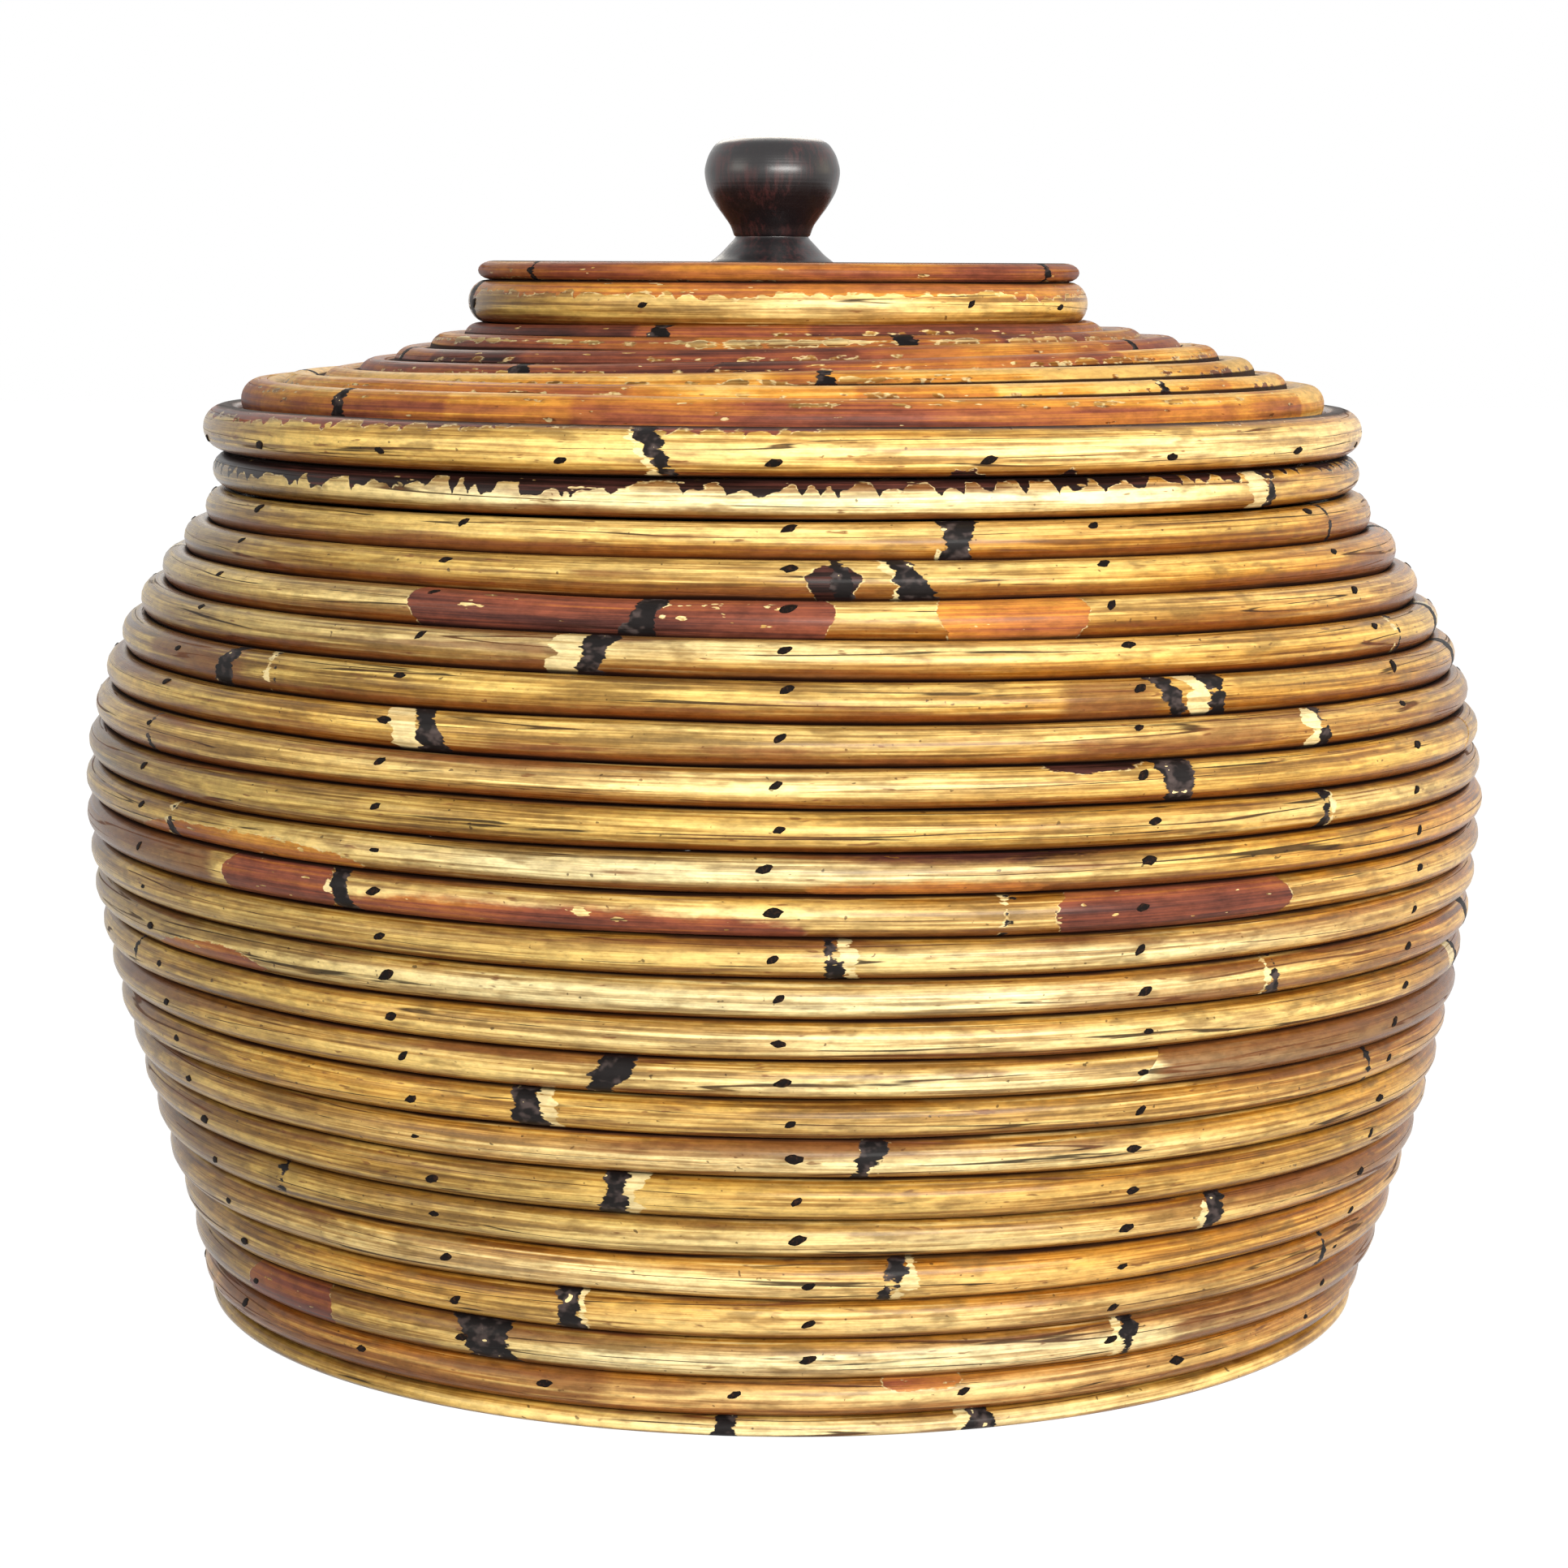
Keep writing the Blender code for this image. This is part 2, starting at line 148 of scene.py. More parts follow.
@dataclass(frozen=True)
class Path:
    """A cane's course as whole arrays, one row for each section along it.

    Attributes:
        turn: turns from the start of the coil.
        distance: metres along the centre line.
        centre: centre points.
        out: unit vectors away from the urn's inside, the section's first axis.
        up: unit vectors towards the next course, the section's second axis.
        half_out: half thickness along out.
        half_up: half thickness along up.
    """

    turn: Array
    distance: Array
    centre: Array
    out: Array
    up: Array
    half_out: Array
    half_up: Array

    def read(self, rows: Array, distance: Array) -> Array:
        """A quantity of the path at each distance, read straight between sections.

        Args:
            rows: a number or a vector for each section.
            distance: metres along the cane.

        Returns:
            The numbers or vectors there.
        """
        if rows.ndim == 1:
            return np.interp(distance, self.distance, rows)
        return np.stack([np.interp(distance, self.distance, c) for c in rows.T], axis=-1)

    def point(self, distance: Array, angle: Array, grow: Array) -> Array:
        """Points on the cane's skin.

        Formula: centre(d) + half_out(d) grow cos(a) out(d) + half_up(d) grow sin(a) up(d).

        Args:
            distance: metres along the cane.
            angle: angle round the section, 0 facing outwards.
            grow: factor on the section's size.

        Returns:
            An array of the same shape as distance, with three coordinates more.
        """
        wide = self.read(self.half_out, distance) * grow * np.cos(angle)
        tall = self.read(self.half_up, distance) * grow * np.sin(angle)
        out, up = self.read(self.out, distance), self.read(self.up, distance)
        return self.read(self.centre, distance) + wide[..., None] * out + tall[..., None] * up

    def distance_at(self, turn: float) -> float:
        """Metres along the cane at this turn count."""
        return float(np.interp(turn, self.turn, self.distance))

    def azimuth(self, distance: Array) -> Array:
        """Azimuth in degrees from the front, -180 to 180, at each distance."""
        return (AZIMUTH_BACK - 360 * self.read(self.turn, distance) + 180) % 360 - 180

    def moved(self, across: Array, upward: Array) -> "Path":
        """The path with each centre point moved along X and along Z."""
        return replace(self, centre=self.centre + np.stack([across, 0 * across, upward], axis=-1))


def path_through(turn: Array, section: Array, rise: Array, half_out: Array, half_up: Array) -> Path:
    """A path that winds clockwise, seen from above, from just past the back.

    Formula: azimuth = back + step - turn, and out is rise turned a quarter, both in the
    upright plane through the axis.

    Args:
        turn: turn counts.
        section: centre points as (radius, height).
        rise: direction to the next course as (radius, height).
        half_out: half thickness away from the urn.
        half_up: half thickness towards the next course.

    Returns:
        The path.
    """
    azimuth = math.pi / 2 + math.pi * STEP_SHARE - TAU * turn
    round_x, round_y = np.cos(azimuth), np.sin(azimuth)
    rise = rise / np.hypot(*rise.T)[:, None]

    def stand(pair: Array) -> Array:
        """Turns (radius, height) pairs into points at their azimuths."""
        return np.stack([pair[:, 0] * round_x, pair[:, 0] * round_y, pair[:, 1]], axis=-1)

    centre = stand(section)
    steps = np.linalg.norm(np.diff(centre, axis=0), axis=1)
    distance = np.concatenate([[0.0], np.cumsum(steps)])
    out = stand(np.stack([rise[:, 1], -rise[:, 0]], axis=-1))
    return Path(turn, distance, centre, out, stand(rise), half_out, half_up)


@dataclass(frozen=True)
class Winding:
    """A coil's rule: a rising coil of even courses along an outline.

    Attributes:
        outline: centre outline as (radius, height), first course to last.
        courses: how many courses fill it.
        ramp: turns over which the level ends give way to a steady climb.
        level_start: whether the first course lies level.
        fullness: factor of the thickness outwards over that towards the next course.
        length_to: distance along the outline of each course's edge, as a share of the whole.
        waver: metres by which the line between two courses wanders.
    """

    outline: Array
    courses: int
    ramp: float
    level_start: bool = True
    fullness: float = 1.04
    length_to: Callable[[Array], Array] | None = None
    waver: float = 0.0

    def top_edge(self, turn: Array) -> Array:
        """Height of the cane's upper edge in courses.

        Formula: near a level ring a stair that climbs a course in the first sixth of each
        turn, and away from it a steady climb, blended by smoothstep over the ramp.
        """
        whole = np.floor(turn)
        stair = whole + smoothstep((turn - whole) / STEP_SHARE)
        even = turn + (1 - STEP_SHARE) / 2
        evenness = smoothstep((self.courses + STEP_SHARE - turn) / self.ramp)
        if self.level_start:
            evenness = evenness * smoothstep(turn / self.ramp)
        return stair + evenness * (even - stair)

    def path(self, per_turn: int = 180, thinnest: float = 0.07) -> Path:
        """The coil's path from its first tapered tip to its last."""
        turn = np.arange(math.ceil((self.courses + STEP_SHARE) * per_turn) + 1) / per_turn
        upper = np.minimum(self.top_edge(turn), self.courses)
        lower = self.top_edge(turn - 1)
        if self.level_start:
            lower = np.maximum(lower, 0.0)
        keep = (upper - lower > thinnest) & (np.round(lower, 6) >= 0)
        turn, upper, lower = turn[keep], upper[keep], lower[keep]
        marks = np.concatenate([[0.0], np.cumsum(np.hypot(*np.diff(self.outline, axis=0).T))])

        def edge(courses: Array, count: Array) -> tuple[Array, Array]:
            """Distance along the outline, and the point there, of the line above a turn."""
            share = self.length_to(courses) if self.length_to else courses / self.courses
            inner = smoothstep((count - 0.2) / 0.8) * smoothstep((self.courses - 0.9 - count) / 0.8)
            wander = 0.7 * drift(count, 0.11, 15) + 0.3 * drift(count, 0.035, 16)
            away = share * marks[-1] + self.waver * inner * wander
            return away, np.stack([np.interp(away, marks, c) for c in self.outline.T], axis=-1)

        low, low_point = edge(lower, turn - 1)
        high, high_point = edge(upper, turn)
        middle = np.stack([np.interp((low + high) / 2, marks, c) for c in self.outline.T], axis=-1)
        half = (high - low) / 2
        return path_through(turn, middle, high_point - low_point, half * self.fullness, half)


@dataclass(frozen=True)
class Ring:
    """A level ring of cane whose joint is at the back.

    Attributes:
        radius: of its centre line.
        height: of its centre line.
        half_out: half thickness away from the axis.
        half_up: half thickness upwards.
        shift: metres that it is moved along X.
    """

    radius: float
    height: float
    half_out: float
    half_up: float
    shift: float = 0.0

    def path(self) -> Path:
        """The ring's path, which runs a little past both ends of its one turn."""
        turn = np.arange(-8, 369) / 360
        ones = np.ones_like(turn)
        section = np.stack([self.radius * ones, self.height * ones], axis=-1)
        rise = np.stack([0 * ones, ones], axis=-1)
        path = path_through(turn, section, rise, self.half_out * ones, self.half_up * ones)
        path = path.moved(self.shift * ones, 0 * ones)
        return replace(path, distance=path.distance - path.distance_at(0.0))

    def cane(self, name: str, seed: int, cut: float = 3 * MM, **looks: object) -> "Cane":
        """The cane that fills the ring.

        Args:
            name: the piece's name.
            seed: number of its random draws.
            cut: metres by which the cut at its joint leans.
            looks: other fields of the cane.

        Returns:
            The cane.
        """
        return Cane(name, self.path(), 0.0, 1.0, cut, cut, seed=seed, **looks)


def sheath_above(limit: Callable[[Array], Array], half: float) -> Rule:
    """Sheath on the upper side of a cane, down to a line that wanders along it.

    Formula: metres to the edge are (limit - sin(angle)) times the half thickness.

    Args:
        limit: height of the edge on the section, -1 to 1, at each distance.
        half: half the cane's thickness.

    Returns:
        The rule, for a cane's sheath.
    """
    return lambda away, angle: (limit(away) - np.sin(angle)) * half


@dataclass(frozen=True)
class Scar:
    """The dark scar of a leaf node round a cane.

    Attributes:
        course: course counted down from the rim.
        azimuth: degrees from the front, positive to the right.
        width: millimetres along the cane, thin for a bare node ring.
        skew: millimetres by which the scar's top lies further right.
        cream: millimetres of bare pale skin beside it, to its left if positive.
    """

    course: int
    azimuth: float
    width: float
    skew: float = 0.0
    cream: float = 0.0


@dataclass(frozen=True)
class Patch:
    """Leaf sheath left on a cane, red-brown under the varnish.

    Attributes:
        course: course counted down from the rim, or 0 where turn counts give its place.
        left: azimuth of its left end, in degrees from the front.
        right: azimuth of its right end.
        side: which side of the cane it covers.
        limit: where a side patch ends, as a share of the half thickness, upwards positive.
        tone: its colour, from 0 near black over red-brown to 1 amber.
        round_end: millimetres by which its ends bulge.
        taper: how much a side patch narrows to points at its ends, 0 to 1.
        crisp: whether its edge is sharp, rather than faded.
    """

    course: int = 0
    left: float = 0.0
    right: float = 0.0
    side: Side = Side.FULL
    limit: float = 0.0
    tone: float = 0.5
    round_end: float = 3.0
    taper: float = 0.6
    crisp: bool = True


@dataclass(frozen=True)
class Stain:
    """A stretch of cane that has darkened to a streaky red-brown.

    Attributes:
        course: course counted down from the rim, or 0 where turn counts give its place.
        left: azimuth of its left end, in degrees from the front.
        right: azimuth of its right end.
        depth: how dark it is, 0 to 1.
        low: how much of it keeps to the lower side, 0 to 1.
    """

    course: int = 0
    left: float = 0.0
    right: float = 0.0
    depth: float = 0.6
    low: float = 0.0


@dataclass(frozen=True)
class Mark:
    """A node scar placed on its cane.

    Attributes:
        turn: turn count of its middle.
        half: metres to either side of it.
        skew: metres by which its upper side lies back along the cane.
        cream: metres of bare pale skin beside it, to its left if positive.
    """

    turn: float
    half: float
    skew: float = 0.0
    cream: float = 0.0


def ring_turn(azimuth: Array | float) -> Array | float:
    """Turn count on a ring at this azimuth, in degrees from the front."""
    return ((AZIMUTH_BACK - azimuth) / 360) % 1.0


def turn_of(course: int, azimuth: float, courses: int) -> float:
    """Turn count at this azimuth, in degrees from the front, on a course from the rim."""
    return courses - course + ring_turn(azimuth)


@dataclass
class Cane:
    """One length of cane: a stretch of a path with its own grain, scars and sheath.

    Attributes:
        name: the piece's name.
        path: the path that it lies on.
        start: turn count where it starts.
        end: turn count where it ends.
        start_cut: metres by which the first end's cut leans, top forward.
        end_cut: the same at the last end.
        sides: points round its section.
        step: metres between sections.
        warmth: how amber it is, 0 to 1.
        shade: factor on its brightness.
        bleach: how pale its worn middle is, 0 to 1, which is wear and a painted highlight.
        marks: its node scars.
        patches: (first turn, last turn, patch) of its sheath.
        stains: (first turn, last turn, stain) of its dark stretches.
        sheath: metres to the edge of sheath that runs its whole length, negative inside.
        tone: colour of that sheath, as a number or by place.
        teeth: how deeply its sheath's edges are toothed, 0 to 1.
        hidden: height on the section where its neighbour covers it, as a number or by place; the painted
            shade between courses reaches up to it.
        seed: number of its random draws.
    """

    name: str
    path: Path
    start: float
    end: float
    start_cut: float = 0.0
    end_cut: float = 0.0
    sides: int = 20
    step: float = 2.6 * MM
    warmth: float = 0.45
    shade: float = 1.0
    bleach: float = 0.74
    marks: list[Mark] = field(default_factory=list)
    patches: list[tuple[float, float, Patch]] = field(default_factory=list)
    stains: list[tuple[float, float, Stain]] = field(default_factory=list)
    sheath: Rule | None = None
    tone: float | Rule = 0.5
    teeth: float = 0.0
    hidden: float | Callable[[Array], Array] = 1.0
    seed: int = 0

    # Spliced ends run into each other by this much
    OVERLAP = 0.3 * MM
    # A cut end leans over this length
    REACH = 12 * MM
    # Distance to an edge that isn't near
    FAR = 50 * MM
    # Metres from an end, and the section's size there
    END = ((0.0, 0.86), (0.15 * MM, 0.95), (0.5 * MM, 0.99), (1.2 * MM, 1.0))

    def build(self) -> bpy.types.Object:
        """Makes the cane's mesh and its attributes.

        Formula: rings of points on the path's skin, each point slid along the cane by
        cut * sin(angle) near a cut end, with a swelling at each node and a slow wobble.

        Returns:
            The object, its place in its mesh.
        """
        path = self.path
        along, round_off, lean = self.stations()
        angle = np.broadcast_to(np.arange(self.sides) / self.sides * TAU, (len(along), self.sides))
        away = along[:, None] + lean[:, None] * np.sin(angle)
        near, cream, swell = self.mark_edges(away, angle)
        wobble = 1 + 0.012 * drift(away, 38 * MM, self.seed) + 0.02 * np.abs(np.cos(angle)) * swell
        sway = 0.22 * MM * drift(away, 55 * MM, self.seed + 1)
        points = path.point(away, angle, round_off[:, None] * wobble)
        points = points + sway[..., None] * path.read(path.out, away)

        half = path.read(path.half_up, away)
        grain = np.stack([away + 3.7 * self.seed, half * np.cos(angle), half * np.sin(angle)], axis=-1)
        sheath, tone, crisp = self.sheath_edge(away, angle, half)
        # Brightness with painted shade on the flanks, and paleness with a painted highlight at the front
        shade, bleach = self.weather_and_light(away)
        hidden = self.hidden(away) if callable(self.hidden) else self.hidden
        values = {
            "node_edge": near,
            "cream_edge": cream,
            "sheath_edge": sheath,
            "tone": tone,
            "crisp": crisp,
            "teeth": np.full_like(away, self.teeth),
            "warmth": self.warmth_and_side_light_at(away, points),
            "shade": shade,
            "bleach": bleach,
            "stain": self.stain_at(away, angle),
            "height": np.sin(angle),
            # Where the dirt and painted shade between courses fall
            "seam": np.abs(np.sin(angle)) / hidden,
        }
        return tube_object(self.name, points, grain, values)

    def stations(self) -> tuple[Array, Array, Array]:
        """Where the cane's sections lie, and how its ends are rounded and cut.

        Returns:
            For each section the metres along the path, the factor on its size, and the
            metres by which its top is slid forward.
        """
        first = self.path.distance_at(self.start) - self.OVERLAP * (self.start > self.path.turn[0])
        last = self.path.distance_at(self.end) + self.OVERLAP * (self.end < self.path.turn[-1])
        count = max(int((last - first - 4 * MM) / self.step), 8)
        middle = np.linspace(first + 2 * MM, last - 2 * MM, count)
        edges = np.array(self.END)[:, 0]
        along = np.concatenate([first + edges, middle, last - edges[::-1]])
        round_off = table(self.END, np.minimum(along - first, last - along))
        lean = self.start_cut * smoothstep(1 - (along - first) / self.REACH)
        lean = lean + self.end_cut * smoothstep(1 - (last - along) / self.REACH)
        return along, round_off, lean

    def mark_edges(self, away: Array, angle: Array) -> tuple[Array, Array, Array]:
        """Metres to the edges of scars and of bare patches, and the swelling at nodes.

        Formula: a scar is waisted, its half width times 0.75 + 0.45 sin^2 of the angle from
        its own tilt; a bare patch starts at its edge and narrows away from the front.

        Args:
            away: metres along the cane, of each point.
            angle: angle round the section.

        Returns:
            The two distances, negative inside, and the swelling from 0 to 1.
        """
        near = np.full_like(away, self.FAR)
        cream = np.full_like(away, self.FAR)
        swell = np.zeros_like(away)
        for count, mark in enumerate(self.marks):
            at = away - self.path.distance_at(mark.turn) + mark.skew * np.sin(angle)
            waist = 0.75 + 0.45 * np.sin(angle + 0.9 * math.sin(5.0 * count + self.seed)) ** 2
            near = np.minimum(near, np.abs(at) - mark.half * waist)
            swell = swell + np.exp(-((at / (2.6 * MM)) ** 2))
            if mark.cream:
                beyond = math.copysign(1.0, mark.cream) * at - mark.half * 0.6
                long = abs(mark.cream) * (0.62 + 0.38 * np.cos(angle * 1.3 - 0.3 + count))
                cream = np.minimum(cream, np.maximum(-beyond, beyond - long))
        return np.clip(near, -self.FAR, self.FAR), cream, swell

    def sheath_edge(self, away: Array, angle: Array, half: Array) -> tuple[Array, Array, Array]:
        """Where leaf sheath covers the cane.

        Formula: a patch's edge is the larger of the distances to its ends, bulged by
        sin^2 of the angle, and to its limit on the section.

        Args:
            away: metres along the cane, of each point.
            angle: angle round the section.
            half: half thickness there.

        Returns:
            Metres to the sheath's edge, negative under it, its tone, and how crisp its edge is.
        """
        edge = np.full_like(away, self.FAR)
        tone = np.full_like(away, 0.5)
        crisp = np.ones_like(away)
        if self.sheath is not None:
            edge = np.minimum(edge, self.sheath(away, angle))
            tone = self.tone(away, angle) if callable(self.tone) else np.full_like(away, self.tone)
        for start, end, patch in self.patches:
            bulge = patch.round_end * MM * np.sin(angle) ** 2
            ends = np.sort([self.path.distance_at(start), self.path.distance_at(end)])
            gap = np.maximum(ends[0] - away, away - ends[1]) + bulge
            if patch.side is not Side.FULL:
                sign = 1 if patch.side is Side.LOWER else -1
                slow = 0.25 * drift(away, 30 * MM, self.seed + 5)
                place = np.clip((away - ends[0]) / (ends[1] - ends[0]), 0, 1)
                narrow = sign * patch.taper * (2 * np.abs(place - 0.5)) ** 3
                gap = np.maximum(gap, sign * (np.sin(angle) - patch.limit + slow + narrow) * half)
            inside = gap < np.minimum(edge, 2 * MM)
            tone = np.where(inside, patch.tone, tone)
            crisp = np.where(inside, float(patch.crisp), crisp)
            edge = np.minimum(edge, gap)
        return np.clip(edge, -self.FAR, self.FAR), tone, crisp

    def stain_at(self, away: Array, angle: Array) -> Array:
        """How stained the cane is: its own dark stretches over slow drifts on each side.

        Args:
            away: metres along the cane, of each point.
            angle: angle round the section.

        Returns:
            The stain, from 0 to 1.
        """

        def slow(wavelength: float, seed: int) -> Array:
            """The upper half of a slow drift along the cane."""
            return np.clip(drift(away, wavelength, self.seed + seed), 0, 1)

        height = np.sin(angle)
        upper = 0.75 * smoothstep((height - 0.10) / 0.45) * slow(120 * MM, 7)
        lower = 0.75 * smoothstep((-0.15 - height) / 0.45) * slow(100 * MM, 8)
        stain = np.maximum(np.maximum(upper, lower), 0.25 * slow(90 * MM, 4))
        for start, end, mark in self.stains:
            ends = np.sort([self.path.distance_at(start), self.path.distance_at(end)])
            fade = smoothstep((away - ends[0]) / (9 * MM)) * smoothstep((ends[1] - away) / (9 * MM))
            kept = 1 - mark.low * smoothstep((height + 0.35) / 0.7)
            stain = np.maximum(stain, mark.depth * fade * kept)
        return stain

    def weather_and_light(self, away: Array) -> tuple[Array, Array]:
        """How bright the cane is and how pale its worn middle, with slow drifts and with light and shade
        painted in.

        Formula: the middle is palest just right of the front, as a bell over the azimuth, a painted
        highlight, and the two flanks are darker, as a bell each, painted shade.

        Args:
            away: metres along the cane, of each point.

        Returns:
            The factor on its brightness, with painted shade on the flanks, and the paleness of its middle.
        """
        azimuth = self.path.azimuth(away)
        # Painted highlight at the front and painted shade on both flanks, by azimuth
        facing = np.exp(-(((azimuth - 6) / 40) ** 2))
        flank = np.exp(-(((np.abs(azimuth - 10) - 78) / 24) ** 2))
        shade = self.shade * (1 + 0.13 * drift(away, 210 * MM, self.seed + 6)) * (1 - 0.15 * flank)
        bleach = self.bleach * (0.45 + 0.80 * facing) * (1 + 0.5 * drift(away, 160 * MM, self.seed + 9))
        return shade, bleach

    def warmth_and_side_light_at(self, away: Array, points: Array) -> Array:
        """How amber the cane is, with slow drifts, and with painted light: warmer on the lit right, greyer in
        the shade at the upper left.

        Args:
            away: metres along the cane, of each point.
            points: the points themselves.

        Returns:
            The warmth, from 0 to 1.
        """
        # Painted light and shade: warm and bright on the right, grey and dark at the upper left
        side = points[..., 0] / np.hypot(points[..., 0], points[..., 1])
        side = side * np.where(side > 0, 0.38, 0.24 * np.clip(points[..., 2] / 0.16, 0.1, 1.0))
        slow = 0.14 * drift(away, 130 * MM, self.seed + 2) + 0.09 * drift(away, 37 * MM, self.seed + 3)
        return np.clip(self.warmth + side + slow, 0.0, 1.0)


def new_object(name: str, verts: Array, faces: list[list[int]], sharp: float = 0.0) -> bpy.types.Object:
    """A mesh object in the scene.

    Args:
        name: its name.
        verts: its points.
        faces: the indices of each face.
        sharp: degrees past which an edge stays sharp on a smooth mesh, or 0 for a flat one.

    Returns:
        The new object.
    """
    mesh = bpy.data.meshes.new(name)
    mesh.from_pydata(verts, [], faces)
    mesh.update()
    if sharp:
        mesh.shade_smooth()
        mesh.set_sharp_from_angle(angle=math.radians(sharp))
    obj = bpy.data.objects.new(name, mesh)
    bpy.context.scene.collection.objects.link(obj)
    return obj


def tube_object(name: str, points: Array, grain: Array, values: dict[str, Array]) -> bpy.types.Object:
    """A closed tube from a grid of points, with a rounded cap at each end.

    Formula: quads between neighbouring rings, wrapped round the section, and a fan from
    each end's mean point to its ring.

    Args:
        name: the object's name.
        points: rings by sides by three.
        grain: laid-straight coordinates of the same shape.
        values: one number a point for each attribute.

    Returns:
        The new object.
    """
    rings, sides = points.shape[:2]
    ends = [points[0].mean(0), points[-1].mean(0)]
    verts = np.concatenate([points.reshape(-1, 3), ends])
    index = np.arange(rings * sides).reshape(rings, sides)
    beside = np.roll(index, -1, axis=1)
    quads = np.stack([index[:-1], beside[:-1], beside[1:], index[1:]], axis=-1).reshape(-1, 4)
    low, high = rings * sides, rings * sides + 1
    first = np.stack([np.full(sides, low), beside[0], index[0]], axis=-1)
    last = np.stack([np.full(sides, high), index[-1], beside[-1]], axis=-1)
    faces = [*quads.tolist(), *first.tolist(), *last.tolist()]
    corner, across = verts[quads[:, 0]], verts[quads[:, 2]] - verts[quads[:, 0]]
    normal = np.cross(across, verts[quads[:, 3]] - verts[quads[:, 1]])
    if np.einsum("ij,ij->i", corner - verts.mean(0), normal).sum() < 0:
        faces = [face[::-1] for face in faces]
    obj = new_object(name, verts, faces, 55)
    caps = np.stack([grain[0].mean(0), grain[-1].mean(0)])
    put(obj.data, "straight", np.concatenate([grain.reshape(-1, 3), caps]))
    for key, value in values.items():
        tips = np.array([value[0].mean(), value[-1].mean()])
        put(obj.data, key, np.concatenate([value.ravel(), tips]))
    return obj


def put(mesh: bpy.types.Mesh, name: str, values: Array) -> None:
    """Stores values as an attribute of the mesh.

    Args:
        mesh: the mesh.
        name: the attribute's name.
        values: a number or a vector for each point.
    """
    kind, member = ("FLOAT_VECTOR", "vector") if values.ndim == 2 else ("FLOAT", "value")
    mesh.attributes.new(name, kind, "POINT").data.foreach_set(member, values.ravel())


def turned_object(name: str, outline: Array, shift: float, steps: int = 96) -> bpy.types.Object:
    """A turned solid.

    Formula: each outline point (radius, height) turned round the axis in even steps, poles
    closed with fans.

    Args:
        name: the object's name.
        outline: points from the top pole, down the outer side, to the bottom pole.
        shift: metres that the axis is moved along X.
        steps: points round a turn.

    Returns:
        The new object.
    """
    angle = np.arange(steps) / steps * TAU
    body = outline[1:-1]
    ring_x = body[:, :1] * np.cos(angle) + shift
    ring_y = body[:, :1] * np.sin(angle)
    ring_z = np.broadcast_to(body[:, 1:], ring_x.shape)
    poles = [(shift, 0.0, outline[0][1]), (shift, 0.0, outline[-1][1])]
    verts = np.concatenate([np.stack([ring_x, ring_y, ring_z], axis=-1).reshape(-1, 3), poles])
    index = np.arange(body.shape[0] * steps).reshape(-1, steps)
    beside = np.roll(index, -1, axis=1)
    quads = np.stack([index[:-1], index[1:], beside[1:], beside[:-1]], axis=-1).reshape(-1, 4)
    top, bottom = len(verts) - 2, len(verts) - 1
    cap = np.stack([np.full(steps, top), index[0], beside[0]], axis=-1)
    foot = np.stack([np.full(steps, bottom), beside[-1], index[-1]], axis=-1)
    return new_object(name, verts, [*quads.tolist(), *cap.tolist(), *foot.tolist()], 50)


class Wire:
    """A value on its way through a node graph, with plain arithmetic on it."""

    def __init__(self, graph: "Graph", socket: bpy.types.NodeSocket) -> None:
        """Keeps the graph and the output that the value comes from."""
        self.graph = graph
        self.socket = socket

    def __add__(self, other: Value) -> "Wire":
        """This plus another."""
        return self.graph.math("ADD", self, other)

    def __sub__(self, other: Value) -> "Wire":
        """This less another."""
        return self.graph.math("SUBTRACT", self, other)

    def __rsub__(self, other: Value) -> "Wire":
        """Another less this."""
        return self.graph.math("SUBTRACT", other, self)

    def __mul__(self, other: Value) -> "Wire":
        """This times another."""
        return self.graph.math("MULTIPLY", self, other)

    def __truediv__(self, other: Value) -> "Wire":
        """This over another."""
        return self.graph.math("DIVIDE", self, other)

    def __abs__(self) -> "Wire":
        """This without its sign."""
        return self.graph.math("ABSOLUTE", self)

    def larger(self, other: Value) -> "Wire":
        """The larger of this and another."""
        return self.graph.math("MAXIMUM", self, other)


